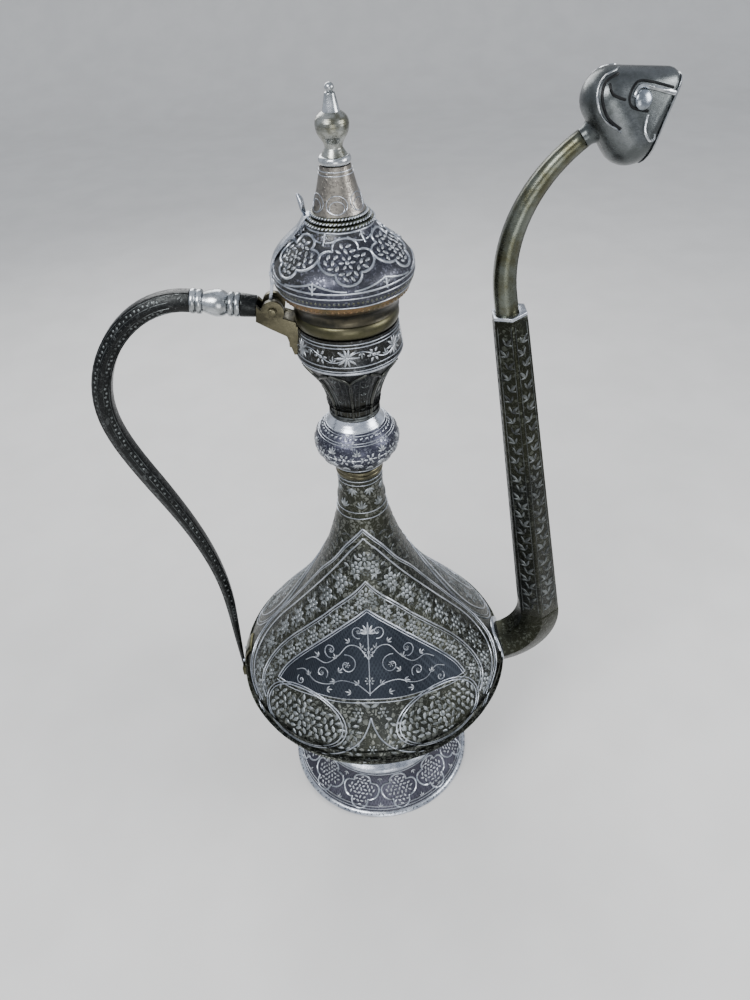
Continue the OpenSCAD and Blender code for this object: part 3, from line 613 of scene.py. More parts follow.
class EWER_OT_stage(bpy.types.Operator):
    """Pale floor and backdrop, soft studio lights and the camera"""

    bl_idname = "ewer.stage"
    bl_label = "Stage"

    def execute(self, context):
        """Builds the floor, the lights and the camera."""
        bm = bmesh.new()
        floor = bmesh.ops.create_grid(bm, x_segments=1, y_segments=1, size=3.0)["verts"]
        back = [v for v in floor if v.co.y > 0]
        edge = [e for e in bm.edges if all(v in back for v in e.verts)]
        raised = bmesh.ops.extrude_edge_only(bm, edges=edge)["geom"]
        lifted = [g for g in raised if isinstance(g, bmesh.types.BMVert)]
        bmesh.ops.translate(bm, verts=lifted, vec=(0, 0, 3.0))
        corner = [e for e in bm.edges if all(v.co.z < 1e-6 and v.co.y > 2.9 for v in e.verts)]
        bmesh.ops.bevel(bm, geom=corner, offset=0.8, segments=12, profile=0.5, affect="EDGES",
                        material=-1)
        mesh = bpy.data.meshes.new("floor")
        bm.to_mesh(mesh)
        bm.free()
        mesh.shade_smooth()
        ground = bpy.data.objects.new("floor", mesh)
        context.scene.collection.objects.link(ground)
        recipe = Recipe("pale_floor")
        recipe.shader.inputs["Metallic"].default_value = 0.0
        shade = recipe.ramp(recipe.noise(recipe.coords(), 90.0).outputs["Fac"], 0.3, 0.7)
        mesh.materials.append(recipe.finish(recipe.mix(shade, (0.66, 0.65, 0.63), (0.70, 0.69, 0.67)), 0.7))
        self.light(context, "key", (-0.55, -0.75, 1.25), 0.55, 15.0)
        self.light(context, "side", (0.95, -0.25, 0.75), 0.5, 8.0)
        self.light(context, "front", (0.1, -1.3, 0.35), 0.6, 5.0)
        self.light(context, "back", (-0.3, 0.9, 0.9), 0.7, 7.0)
        self.sky(context)
        self.camera(context)
        return {"FINISHED"}

    def light(self, context, name, spot, size, watts):
        """One soft square light that faces the middle of the pot."""
        data = bpy.data.lights.new(name, "AREA")
        data.size = size
        data.energy = watts
        made = bpy.data.objects.new(name, data)
        aim = Vector((0.0, 0.0, 0.25)) - Vector(spot)
        made.matrix_world = Matrix.Translation(spot) @ aim.to_track_quat("-Z", "Y").to_matrix().to_4x4()
        context.scene.collection.objects.link(made)

    def sky(self, context):
        """A dim even room for the metal to reflect."""
        world = bpy.data.worlds.new("studio")
        world.use_nodes = True
        world.node_tree.nodes["Background"].inputs["Color"].default_value = (0.86, 0.91, 1.0, 1.0)
        world.node_tree.nodes["Background"].inputs["Strength"].default_value = 0.8
        context.scene.world = world

    def camera(self, context):
        """Camera above and in front, looking down on the pot with a slight roll."""
        side = math.radians(2.0)
        pitch, yaw, roll = math.radians(39.706), math.radians(1.2458), math.radians(3.7977)
        turn = Matrix.Rotation(side, 3, "Z")
        ahead = turn @ Vector((math.sin(yaw) * math.cos(pitch), math.cos(yaw) * math.cos(pitch),
                               -math.sin(pitch)))
        right = turn @ Vector((math.cos(yaw), -math.sin(yaw), 0.0))
        down = ahead.cross(right)
        across = right * math.cos(roll) + down * math.sin(roll)
        below = down * math.cos(roll) - right * math.sin(roll)
        data = bpy.data.cameras.new("camera")
        data.lens = 27.72
        data.sensor_width = 36.0
        made = bpy.data.objects.new("camera", data)
        place = Matrix((across, -below, -ahead)).transposed().to_4x4()
        place.translation = Vector((14.08, -403.25, 618.9)) * MM
        made.matrix_world = place
        context.scene.collection.objects.link(made)
        context.scene.camera = made


class EWER_OT_finishes(bpy.types.Operator):
    """The metals of the pot"""

    bl_idname = "ewer.finishes"
    bl_label = "Finishes"

    def execute(self, context):
        """Makes every material once."""
        FINISHES.clear()
        FINISHES.update(make_materials())
        return {"FINISHED"}


def dress(finish, *nodes):
    """A CAD node whose shape is right gets its material."""
    for name in nodes:
        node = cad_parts[name]
        node.data.materials.clear()
        node.data.materials.append(FINISHES[finish])


def softened(name, nodes, finish, body, round_mm=0.5, segments=2):
    """A merged copy of CAD nodes, with their edges rounded unless round_mm is 0."""
    bm = bmesh.new()
    for node in nodes:
        bm.from_mesh(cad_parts[node].data)
    bmesh.ops.remove_doubles(bm, verts=bm.verts, dist=2e-6)
    if round_mm:
        bmesh.ops.dissolve_limit(bm, angle_limit=math.radians(1.5), verts=bm.verts, edges=bm.edges)
        sharp = [e for e in bm.edges if e.is_manifold and e.calc_face_angle(0.0) > math.radians(35)]
        bmesh.ops.bevel(bm, geom=sharp, offset=round_mm * MM, segments=segments, profile=0.5,
                        affect="EDGES", material=-1, clamp_overlap=True)
    piece = new_piece(name, bm, finish, body, 50.0)
    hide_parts(*nodes)
    return piece


# ---------------------------------------------------------------- foot

class EWER_OT_foot(bpy.types.Operator):
    """Flared foot with its rim, its medallions and the ring under the body"""

    bl_idname = "ewer.foot"
    bl_label = "Foot"

    def execute(self, context):
        """Builds the foot."""
        low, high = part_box("foot_skirt")
        row = smooth_row(outline("foot_skirt"), 2)
        wall = Turned(row)
        turned_piece("foot_wall", section(row, sizes().wall), "foot", VESSEL,
                     ("foot_skirt",), closed=True)
        count = sizes().foot_medallions
        middle = low[2] + 0.46 * (high[2] - low[2])
        size, wide = 15.5 * MM, 0.98
        step = 360.0 / count
        outlines, leaves = [], Stamps()
        for k in range(count):
            az = PANEL_AZ + (k + 0.5) * step
            outlines.append(lobed_path(wall, az, middle, size, 0.0, wide))
            foliage(leaves, wall, az, middle, size, size,
                    lambda x, y: in_lobes(x, y, size * 0.82, wide), 3.5 * MM, 1.0 if k % 2 else -1.0)
            for turn in (math.pi / 2, -math.pi / 2):
                spot = wall.beside(az + step / 2, middle, 0, 13.0 * MM * math.sin(turn))
                spray(leaves, wall, *spot, 4.5 * MM, -turn, 3, 1.5)
        chased_lines("foot_medallions", outlines, "line", VESSEL, 0.85 * MM, True)
        new_piece("foot_leaves", leaves, "leaf", VESSEL)
        lines = [level_ring(wall, z * MM, 0.0) for z in (6.6, 8.6, 30.5, 32.2)]
        chased_lines("foot_rings", lines, "line", VESSEL, 0.5 * MM, True)
        self.rim()
        self.bead()
        return {"FINISHED"}

    def rim(self):
        """The rolled rim on the table, with slanted cuts round it."""
        row = smooth_row(outline("foot_rim"), 2)
        low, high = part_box("foot_rim")
        full = max(r for r, _ in row)
        reach = full - 9 * MM
        edge = [(reach, low[2]), (full - 2.2 * MM, low[2]), (full - 0.5 * MM, low[2] + 0.8 * MM),
                (full, low[2] + 2.2 * MM), (full - 0.9 * MM, low[2] + 3.9 * MM),
                (full - 2.8 * MM, high[2]), (reach, high[2])]
        turned_piece("foot_rim_roll", edge, "trim", VESSEL, ("foot_rim",), closed=True)
        ring = Turned(edge[1:6])
        marks = Stamps()
        count = 96
        for k in range(count):
            leaf_at(marks, ring, 360.0 * k / count, low[2] + 3.0 * MM, 0, 0, 2.6 * MM, 0.7 * MM,
                    0.9 if k % 2 else 2.24, 0.18 * MM)
        new_piece("foot_rim_cuts", marks, "cut", VESSEL)

    def bead(self):
        """The ring between foot and body: two plain rolls."""
        dress("trim", "foot_bead")


# ---------------------------------------------------------------- body

class EWER_OT_body(bpy.types.Operator):
    """Bowl and shoulder of the body"""

    bl_idname = "ewer.body"
    bl_label = "Body"

    def execute(self, context):
        """Builds the turned walls of the body."""
        bowl = smooth_row(outline("body_bowl"), 3)
        shell = smooth_row(outline("body_shell"), 3)
        base_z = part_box("body_bowl")[0][2]
        closed = [(1 * MM, base_z)] + section(bowl, sizes().wall) + [(1 * MM, base_z + sizes().wall)]
        # The bowl gets the belly finish: its warm brown is painted reflection of a brass surface below.
        turned_piece("body_bowl_wall", closed, "belly", VESSEL, ("body_bowl",), closed=True)
        turned_piece("body_wall", section(shell, sizes().wall), "body", VESSEL,
                     ("body_shell",), closed=True)
        return {"FINISHED"}


def body_wall():
    """The outside of the body from bowl to neck."""
    rows = outline("body_bowl", "body_shell")
    return Turned(smooth_row(rows, 3))


# Height in millimetres at which each frame line of the panel crosses an azimuth from its middle
OUTER_LINE = ((0, 275), (18, 268), (35, 260), (52, 247), (70, 233), (80, 217), (86, 201), (90, 178),
              (89, 163), (84, 150), (74, 141), (60, 137), (52, 128), (46, 118))
BAND_LINE = ((0, 268), (12, 263), (25, 257), (42, 245), (58, 230), (71, 213), (80, 194), (84, 178),
             (83, 163), (77, 150), (67, 143), (56, 140))
FIELD_LINE = ((0, 238), (12, 231), (30, 220), (41, 210), (51, 199), (60, 186), (65, 173), (66, 160),
              (63, 150), (55, 144))
INNER_LINE = ((0, 220), (8, 216), (20, 209), (30, 201), (40, 191), (48, 180), (53, 169), (54, 160))
FIELD_FOOT = ((-54, 160), (-44, 162.5), (-31, 165.5), (-16, 167), (0, 168), (16, 167), (31, 165.5),
              (44, 162.5), (54, 160))
OGEE = ((0, 158), (1.5, 152), (5, 144), (12, 136), (21, 130), (32, 124), (46, 118))


def half_path(wall, az, spots, lift, side):
    """One side of a frame line on the body."""
    rows = smooth_row([(az + side * a, z * MM) for a, z in spots], 5)
    return [wall.point(a, z, lift) for a, z in rows]


def whole_path(wall, az, spots, lift):
    """Both sides of a frame line as one path."""
    return half_path(wall, az, spots, lift, -1)[::-1] + half_path(wall, az, spots, lift, 1)[1:]


def inset_spots(spots, amount):
    """A frame line moved inwards by about that many millimetres."""
    made = []
    for k, (a, z) in enumerate(spots):
        before, after = spots[max(k - 1, 0)], spots[min(k + 1, len(spots) - 1)]
        run, rise = (after[0] - before[0]) * 1.3, after[1] - before[1]
        size = math.hypot(run, rise)
        made.append((max(a + amount * rise / size / 1.3, 0.0) if k else 0.0, z - amount * run / size))
    return made


def evenly(spots, count, wall):
    """(azimuth, height, direction) at equal steps along a frame line."""
    rows = smooth_row(spots, 8)
    lengths = [0.0]
    for (a0, z0), (a1, z1) in zip(rows, rows[1:]):
        r = wall.radius((z0 + z1) / 2 * MM) / MM
        lengths.append(lengths[-1] + math.hypot(math.radians(a1 - a0) * r, z1 - z0))
    made = []
    for k in range(count):
        goal = lengths[-1] * (k + 0.5) / count
        i = min(max(bisect_right(lengths, goal), 1), len(rows) - 1)
        share = (goal - lengths[i - 1]) / max(lengths[i] - lengths[i - 1], 1e-9)
        (a0, z0), (a1, z1) = rows[i - 1], rows[i]
        r = wall.radius((z0 + z1) / 2 * MM) / MM
        made.append((a0 + (a1 - a0) * share, z0 + (z1 - z0) * share,
                     math.atan2(z1 - z0, math.radians(a1 - a0) * r)))
    return made


class EWER_OT_panels(bpy.types.Operator):
    """Pointed panels on the body: their frames, borders of grapes and leaves, and fields"""

    bl_idname = "ewer.panels"
    bl_label = "Body panels"

    def execute(self, context):
        """Builds the front and the back panel."""
        wall = body_wall()
        for name, az in (("front", PANEL_AZ), ("back", PANEL_AZ + 180.0)):
            self.frames(name, wall, az)
            self.borders(name, wall, az)
            self.field(name, wall, az)
            self.flowers(name, wall, az)
        self.sides(wall)
        return {"FINISHED"}

    def frames(self, name, wall, az):
        """Double frame lines."""
        lift = 0.0
        bold = [whole_path(wall, az, spots, lift)
                for spots in (OUTER_LINE, BAND_LINE, FIELD_LINE, INNER_LINE, OGEE)]
        fine = [whole_path(wall, az, inset_spots(spots, gap), lift)
                for spots, gap in ((OUTER_LINE, 2.2), (FIELD_LINE, 2.0), (INNER_LINE, 1.8))]
        for drop in (0.0, 1.8):
            fine.append([wall.point(az + a, (z - drop) * MM, lift) for a, z in smooth_row(FIELD_FOOT, 5)])
        chased_lines(f"{name}_frame_bold", bold, "line", VESSEL, 0.6 * MM)
        chased_lines(f"{name}_frame_fine", fine, "line", VESSEL, 0.32 * MM)

    def borders(self, name, wall, az):
        """Grapes and leaves between the frame lines."""
        leaves, fine = Stamps(), Stamps()
        tendril_gap = 5.6 * MM
        outer = [(0, 253), (16, 245), (28, 238), (42, 227), (54, 214), (64, 200), (71, 185), (74, 171),
                 (73, 158), (67, 149), (57, 143)]
        inner = [(0, 229), (9, 224), (20, 217), (31, 208), (41, 198), (50, 187), (57, 175), (59.5, 163),
                 (58, 152)]
        for side in (-1, 1):
            for row, count, size in ((outer, 9, 13.0 * MM), (inner, 9, 10.0 * MM)):
                for k, (a, z, turn) in enumerate(evenly(row, count, wall)):
                    spot = (az + side * a, z * MM)
                    heading = turn if side > 0 else math.pi - turn
                    grapes(leaves, wall, *spot, size * (0.72 if k == 0 else 0.9), heading)
                    for flip in (-1, 1):
                        away = heading + flip * math.pi / 2
                        for lean in (-0.8, 0.8):
                            leaf_at(leaves, wall, *spot, 0.42 * size * math.cos(away + lean),
                                    0.42 * size * math.sin(away + lean), size * 0.34, size * 0.15,
                                    away + 0.4 * lean)
                    edge = (az + side * (a + 0.52 * size / MM * math.cos(turn) / 1.6),
                            (z + 0.52 * size / MM * math.sin(turn)) * MM)
                    for lean in (-0.7, 0.0, 0.7, math.pi - 0.7, math.pi, math.pi + 0.7):
                        leaf_at(leaves, wall, *edge, 0, 0, size * 0.3, size * 0.12,
                                heading + math.pi / 2 + lean)
            for row, count in ((outer, 26), (inner, 22)):
                for k, (a, z, turn) in enumerate(evenly(row, count, wall)):
                    heading = turn if side > 0 else math.pi - turn
                    for lean in (1.57, -1.57):
                        spot = wall.beside(az + side * a, z * MM, tendril_gap * math.cos(heading + lean),
                                           tendril_gap * math.sin(heading + lean))
                        for bend in (0.5, 2.6, 4.4):
                            leaf_at(fine, wall, *spot, 0, 0, 2.9 * MM, 1.1 * MM, heading + bend + k, 0.3 * MM)
        for z in (253, 229):
            flower(leaves, wall, az, z * MM, 11.0 * MM, 8)
        new_piece(f"{name}_border_tendrils", fine, "worn_edge", VESSEL)
        new_piece(f"{name}_border_leaves", leaves, "panel_leaf", VESSEL)

    def field(self, name, wall, az):
        """The hatched field inside the frames with its scroll ornament."""
        bm = bmesh.new()
        rows = smooth_row(INNER_LINE, 3)
        foot_row = smooth_row(FIELD_FOOT, 3)
        half_columns, levels, lift = 26, 20, 0.12 * MM
        half_wide = INNER_LINE[-1][0]
        columns = []
        for step in range(-half_columns, half_columns + 1):
            a = half_wide * step / half_columns
            top = interpolate(rows, abs(a)) - 0.6
            bottom = interpolate(foot_row, a) + 0.4
            heights = [(bottom + (top - bottom) * k / levels) * MM for k in range(levels + 1)]
            columns.append([bm.verts.new(wall.point(az + a, z, lift)) for z in heights])
        for left, right in zip(columns, columns[1:]):
            for k in range(levels):
                bm.faces.new((left[k], right[k], right[k + 1], left[k + 1]))
        bmesh.ops.remove_doubles(bm, verts=bm.verts, dist=1e-6)
        bmesh.ops.recalc_face_normals(bm, faces=bm.faces)
        bmesh.ops.solidify(bm, geom=bm.faces, thickness=0.2 * MM)
        bmesh.ops.recalc_face_normals(bm, faces=bm.faces)
        new_piece(f"{name}_field", bm, "field", VESSEL)
        self.scrolls(name, wall, az)

    def scrolls(self, name, wall, az):
        """Scrolling stems with leaves and flowers in the field."""
        lift = 0.3 * MM
        stems, leaves = [], Stamps()
        for side in (-1, 1):
            for stem in ([(0, 171), (7, 176), (16, 177), (24, 173), (32, 172), (40, 175), (45, 172)],
                         [(0, 190), (7, 197), (15, 197), (21, 190), (28, 184), (37, 184), (42, 180)]):
                stems.append([wall.point(az + side * a, z * MM, lift) for a, z in smooth_row(stem, 6)])
            for a, z, size, turn, flip in ((14, 186, 7.5, 1.2, 1), (29, 178, 5.0, 3.6, -1),
                                           (27, 192, 5.5, 4.4, 1), (8, 206, 5.0, 4.4, 1),
                                           (40, 168.5, 3.6, 0.6, -1)):
                start = turn if side > 0 else math.pi - turn
                stems.append(curl(wall, az + side * a, z * MM, size * MM, start, 1.15, side * flip, lift))
                flower(leaves, wall, az + side * a, z * MM, size * 0.6 * MM, 6)
            for a, z, turn in ((6, 176, 0.6), (20, 176, -0.5), (36, 173, 0.9), (22, 188, 0.9), (34, 186, 0.2),
                               (5, 196, 1.3), (14, 199, 0.5), (19, 181, 2.2), (10, 171, 0.1), (24, 170, 2.9)):
                heading = turn if side > 0 else math.pi - turn
                spray(leaves, wall, az + side * a, z * MM, 5.0 * MM, heading, 3, 1.5)
        stems.append([wall.point(az, z * MM, lift) for z in between(170, 212, 24)])
        spray(leaves, wall, az, 205 * MM, 8 * MM, math.pi / 2, 7, 3.0)
        flower(leaves, wall, az, 194 * MM, 9 * MM, 8)
        flower(leaves, wall, az, 178 * MM, 7 * MM, 8)
        chased_lines(f"{name}_stems", stems, "line", VESSEL, 0.38 * MM)
        new_piece(f"{name}_field_leaves", leaves, "leaf", VESSEL)

    def flowers(self, name, wall, az):
        """Two large round blossoms under the field, one under the point between them, and belly leaves."""
        lift = 0.12 * MM
        leaves, lines = Stamps(), []
        for side in (-1, 1):
            spot = (az + side * 33.0, 149.5 * MM)
            for share in (1.0, 0.93):
                lines.append([wall.point(spot[0] + side * 22.0 * share * math.cos(t),
                                         spot[1] + 16.5 * MM * share * math.sin(t), lift)
                              for t in between(0, math.tau, 60)])
            foliage(leaves, wall, *spot, 36 * MM, 15 * MM,
                    lambda x, y: (x / 35) ** 2 + (y / 13.5) ** 2 < 1e-6 and math.hypot(x, y) > 7 * MM,
                    5.2 * MM, side)
            flower(leaves, wall, *spot, 15 * MM, 8)
        flower(leaves, wall, az, 139 * MM, 7 * MM, 6)
        spray(leaves, wall, az, 132 * MM, 8 * MM, -math.pi / 2, 5, 2.6)
        foliage(leaves, wall, az, 127 * MM, 60 * MM, 24 * MM,
                lambda x, y: y < 9 * MM - 1.2 * abs(x) and y > -24 * MM, 5.6 * MM, 1.0)
        for side in (-1, 1):
            foliage(leaves, wall, az + side * 10, 146 * MM, 9 * MM, 14 * MM,
                    lambda x, y: abs(x) < 8 * MM and abs(y) < 13 * MM - 0.6 * side * x, 5.0 * MM, side)
            flower(leaves, wall, az + side * 6, 160.5 * MM, 8 * MM, 6)
            leaf_at(leaves, wall, az, 163.5 * MM, 0, 0, 7 * MM, 3 * MM, math.pi / 2 - side * 1.15)
        for side in (-1, 1):
            for a, z, turn in ((12, 128, 0.2), (24, 122, 0.1), (38, 112, -0.3), (10, 118, -1.2),
                               (26, 109, -0.9)):
                heading = turn if side > 0 else math.pi - turn
                spray(leaves, wall, az + side * a, z * MM, 8 * MM, heading, 4, 1.8)
        chased_lines(f"{name}_rounds", lines, "line", VESSEL, 0.45 * MM)
        new_piece(f"{name}_blossoms", leaves, "panel_leaf", VESSEL)

    def sides(self, wall):
        """Rings and sprays round the neck and the belly, and fine leaves between the two panels."""
        lift = 0.1 * MM
        rings = [level_ring(wall, z * MM, lift) for z in (311.5, 308.5, 287.0, 282.5, 122.0, 96.0, 93.5)]
        chased_lines("body_rings", rings, "line", VESSEL, 0.3 * MM, True)
        leaves, fine = Stamps(), Stamps()
        count = 8
        for k in range(count):
            az = 360.0 * k / count
            spray(leaves, wall, az, 290 * MM, 7 * MM, math.pi / 2, 5, 1.8)
            spray(leaves, wall, az + 180.0 / count, 306 * MM, 7 * MM, -math.pi / 2, 5, 1.8)
        for k in range(30):
            az = 12.0 * k
            flower(leaves, wall, az, 103 * MM, 7.5 * MM, 6)
            spray(leaves, wall, az + 6.0, 98 * MM, 7 * MM, math.pi / 2, 3, 1.4)
        row_gap, frame_top = 7.5, OUTER_LINE[0][1]
        frame_side = [(0, 90)] + [(frame_top - h, a) for a, h in OUTER_LINE[:9]]
        for k in range(2):
            middle = PANEL_AZ + 90.0 + 180.0 * k
            for row in range(17):
                z = 150.0 + row_gap * row
                reach = 90.0 - interpolate(frame_side, frame_top - z)
                count = max(int(math.radians(2 * reach) * wall.radius(z * MM) / (row_gap * MM)), 0)
                for n in range(count):
                    az = middle - reach + 2 * reach * (n + 0.5 + 0.5 * (row % 2)) / (count + 0.5)
                    for long, wide, more in ((4.6, 1.8, 0.0), (3.6, 1.4, 2.2)):
                        leaf_at(fine, wall, az, z * MM, 0, 0, long * MM, wide * MM,
                                1.3 * n + 2.1 * row + more, 0.28 * MM)
        new_piece("shoulder_leaves", fine, "worn_edge", VESSEL)
        new_piece("neck_leaves", leaves, "panel_leaf", VESSEL)


def interpolate(rows, x):
    """Second value of a row at its first value x."""
    for (x0, y0), (x1, y1) in zip(rows, rows[1:]):
        if x <= x1:
            return y0 + (y1 - y0) * (x - x0) / max(x1 - x0, 1e-9)
    return rows[-1][1]


# ---------------------------------------------------------------- neck

class EWER_OT_neck(bpy.types.Operator):
    """Corded band, knop, ribbed waist, ring and engraved collar of the neck"""

    bl_idname = "ewer.neck"
    bl_label = "Neck"

    def execute(self, context):
        """Builds the neck from the body up to the mouth."""
        self.band()
        self.knop()
        self.ribbed()
        self.collar()
        self.mouth()
        return {"FINISHED"}

    def band(self):
        """Twisted cords of brass round the foot of the knop."""
        dress("old_brass", "neck_band")

    def knop(self):
        """Round knop, smooth above and engraved below."""
        row = smooth_row(outline("neck_knop"), 3)
        wall = Turned(row)
        seam = 352.0 * MM
        turned_piece("knop_wall", section(cut_row(row, 0.0, seam), sizes().wall), "knop_ground",
                     VESSEL, ("neck_knop",), closed=True)
        turned_piece("knop_cap", section(cut_row(row, seam, 1.0), sizes().wall), "knop",
                     VESSEL, closed=True)
        lift = 0.08 * MM
        rings = [level_ring(wall, z * MM, lift, 120) for z in (352.0, 350.8, 347.4, 346.2, 322.5)]
        chased_lines("knop_rings", rings, "line", VESSEL, 0.26 * MM, True)
        cuts, leaves = Stamps(), Stamps()
        for k in range(40):
            leaf_at(cuts, wall, 9.0 * k, 349.1 * MM, -1.2 * MM, 0, 2.6 * MM, 1.3 * MM, 0.5)
        count = 10
        for k in range(count):
            az = 360.0 * k / count
            flower(leaves, wall, az, 337.5 * MM, 8.5 * MM, 6)
            for side in (-1, 1):
                spray(leaves, wall, *wall.beside(az, 337.5 * MM, side * 4.5 * MM, 0), 4.4 * MM,
                      math.pi / 2 - side * math.pi / 2, 3, 1.8)
            spray(leaves, wall, az + 18.0, 340.5 * MM, 5.0 * MM, math.pi / 2, 5, 2.2)
            spray(leaves, wall, az + 18.0, 334.5 * MM, 6.0 * MM, -math.pi / 2, 5, 2.0)
            spray(leaves, wall, az, 331.5 * MM, 7.5 * MM, -math.pi / 2, 3, 0.9)
        new_piece("knop_cuts", cuts, "line", VESSEL)
        new_piece("knop_leaves", leaves, "leaf", VESSEL)

    def ribbed(self):
        """Flared waist with upright ribs that fork at the top."""
        row = smooth_row(outline("ribbed_neck"), 2)
        wall = Turned(row)
        turned_piece("waist_wall", section(row, sizes().wall), "neck", VESSEL,
                     ("ribbed_neck",), closed=True)
        bottom, top = row[0][1], row[-1][1]
        count = sizes().ribs
        ribs, tips, fine = [], [], []
        spread = 180.0 / count
        for k in range(count):
            az = PANEL_AZ + spread * (2 * k)
            fork = top - 9 * MM
            ribs.append([wall.point(az, z, 0.35 * MM) for z in between(bottom + 2.4 * MM, fork, 20)])
            for side in (-1, 1):
                tips.append([wall.point(az + side * spread * 0.92 * t ** 1.6,
                                        fork + (top - 1.2 * MM - fork) * t, 0.35 * MM)
                             for t in between(0, 1, 10)])
                for share, above in ((0.28, 1 * MM), (0.62, 3 * MM)):
                    fine.append([wall.point(az + side * spread * share, z, 0.1 * MM)
                                 for z in between(bottom + 4 * MM, fork + above, 16)])
        chased_lines("waist_ribs", ribs + tips, "neck_rib", VESSEL, 0.95 * MM)
        chased_lines("waist_lines", fine, "worn_edge", VESSEL, 0.25 * MM)
        leaves = Stamps()
        for k in range(count):
            az = PANEL_AZ + spread * (2 * k + 1)
            for z, size in ((366, 2.6), (372, 3.0), (378, 3.6), (385, 4.4)):
                spray(leaves, wall, az, z * MM, size * MM, math.pi / 2, 3, 1.6)
            flower(leaves, wall, az, 392.5 * MM, 5.0 * MM, 6)
        new_piece("waist_leaves", leaves, "worn_edge", VESSEL)
        rings = [level_ring(wall, bottom + lift * MM, 0.5 * MM, 96) for lift in (0.9, 2.6)]
        chased_lines("waist_rings", rings, "worn_edge", VESSEL, 0.75 * MM, True)

    def collar(self):
        """Engraved collar above its thin ring."""
        dress("trim", "neck_ring")
        row = smooth_row(outline("engraved_collar"), 3)
        wall = Turned(row)
        turned_piece("collar_wall", section(row, sizes().wall), "neck", VESSEL,
                     ("engraved_collar",), closed=True)
        rings = [level_ring(wall, z * MM, 0.1 * MM, 120) for z in (402.2, 404.6, 415.7, 417.6)]
        chased_lines("collar_rings", rings, "line", VESSEL, 0.3 * MM, True)
        leaves, stems = Stamps(), []
        count = 12
        for k in range(count):
            az = PANEL_AZ + 360.0 * k / count
            if k % 2:
                flower(leaves, wall, az, 410.0 * MM, 8.4 * MM, 6)
                continue
            for turn in (0.0, math.pi):
                spray(leaves, wall, az, 410.0 * MM, 7.4 * MM, turn, 5, 2.6)
            for side in (-1, 1):
                spot = wall.beside(az, 410.0 * MM, side * 8.2 * MM, 2.6 * MM * side)
                spray(leaves, wall, *spot, 4.0 * MM, -side * math.pi / 2, 3, 1.6)
        steps = 240
        stems.append([wall.point(PANEL_AZ + 360.0 * k / steps,
                                 (410.2 + 2.9 * math.sin(math.tau * count / 2 * k / steps)) * MM, 0.1 * MM)
                      for k in range(steps)])
        chased_lines("collar_stem", stems, "line", VESSEL, 0.28 * MM, True)
        new_piece("collar_leaves", leaves, "leaf", VESSEL)

    def mouth(self):
        """Rolled mouth with a dark worn face."""
        row = smooth_row(outline("mouth_roll"), 3)
        inner = 26.0 * MM
        edge = [(inner, row[0][1])] + row + [(inner, row[-1][1])]
        turned_piece("mouth_roll_turned", edge, "olive", VESSEL, ("mouth_roll",), closed=True)


# ---------------------------------------------------------------- hinge

class EWER_OT_hinge(bpy.types.Operator):
    """Bracket on the collar, its rivets and the hinge pin"""

    bl_idname = "ewer.hinge"
    bl_label = "Hinge"

    def execute(self, context):
        """Builds the hinge pieces on the pot."""
        softened("bracket_lug", ("hinge_bracket",), "old_brass", VESSEL, 1.5, 4)
        dress("old_brass", "bracket_rivets", "hinge_pin")
        low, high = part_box("hinge_pin")
        for name, y in (("pin_head_front", low[1]), ("pin_head_back", high[1])):
            middle = Vector(((low[0] + high[0]) / 2, y, (low[2] + high[2]) / 2))
            bm = bmesh.new()
            bmesh.ops.create_uvsphere(bm, u_segments=24, v_segments=12, radius=1.0,
                                      matrix=Matrix.Translation(middle)
                                      @ Matrix.Diagonal((2.4 * MM, 0.5 * MM, 2.4 * MM, 1.0)))
            new_piece(name, bm, "old_brass", VESSEL)
        return {"FINISHED"}


# ---------------------------------------------------------------- handle

# Middle line of the handle bar in millimetres: (x, z) at the grip, the bow, low down and the tip
BAR_START = Vector((-86.6, 0.0, 435.8))
GRIP_WAY = Vector((-0.9877, 0.0, 0.1564))
BOW = Vector((-152.0, 0.0, 368.0))
BAR_LOW = Vector((-106.0, 0.0, 190.0))
BAR_TIP = Vector((-107.0, 0.0, 117.0))


def curve_points(a, b, c, d, count):
    """Points along a cubic curve, the first left out."""
    made = []
    for k in range(1, count + 1):
        t = k / count
        u = 1.0 - t
        made.append(a * u ** 3 + b * (3 * u * u * t) + c * (3 * u * t * t) + d * t ** 3)
    return made


def bar_route():
    """Points down the middle of the handle bar."""
    down = Vector((0.0, 0.0, 1.0))
    route = [BAR_START]
    route += curve_points(BAR_START, BAR_START + GRIP_WAY * 34, BOW + down * 36.6, BOW, 18)
    route += curve_points(BOW, BOW - down * 44, BAR_LOW + down * 87, BAR_LOW, 22)
    route += curve_points(BAR_LOW, BAR_LOW - down * 20, BAR_TIP + down * 25, BAR_TIP, 10)
    return [p * MM for p in route]


def tube(bm, route, radii, sides, cross=Vector((0.0, 1.0, 0.0)), flat=1.0):
    """A tube of rings bridged along a route in the plane of handle and spout."""
    rings = []
    for k, (spot, r) in enumerate(zip(route, radii)):
        ahead = (route[min(k + 1, len(route) - 1)] - route[max(k - 1, 0)]).normalized()
        side = cross.cross(ahead).normalized()
        place = Matrix((cross, side, ahead)).transposed().to_4x4()
        place.translation = spot
        made = bmesh.ops.create_circle(bm, segments=sides, radius=r,
                                       matrix=place @ Matrix.Diagonal((1.0, flat, 1.0, 1.0))
                                       @ Matrix.Rotation(math.pi / 2, 4, "Z"))
        verts = made["verts"]
        rings.append(list({e for v in verts for e in v.link_edges}))
    for first, second in zip(rings, rings[1:]):
        bmesh.ops.bridge_loops(bm, edges=first + second)
    return rings


def close_ends(bm):
    """Faces over the open ends of a tube."""
    bmesh.ops.holes_fill(bm, edges=[e for e in bm.edges if e.is_boundary], sides=0)


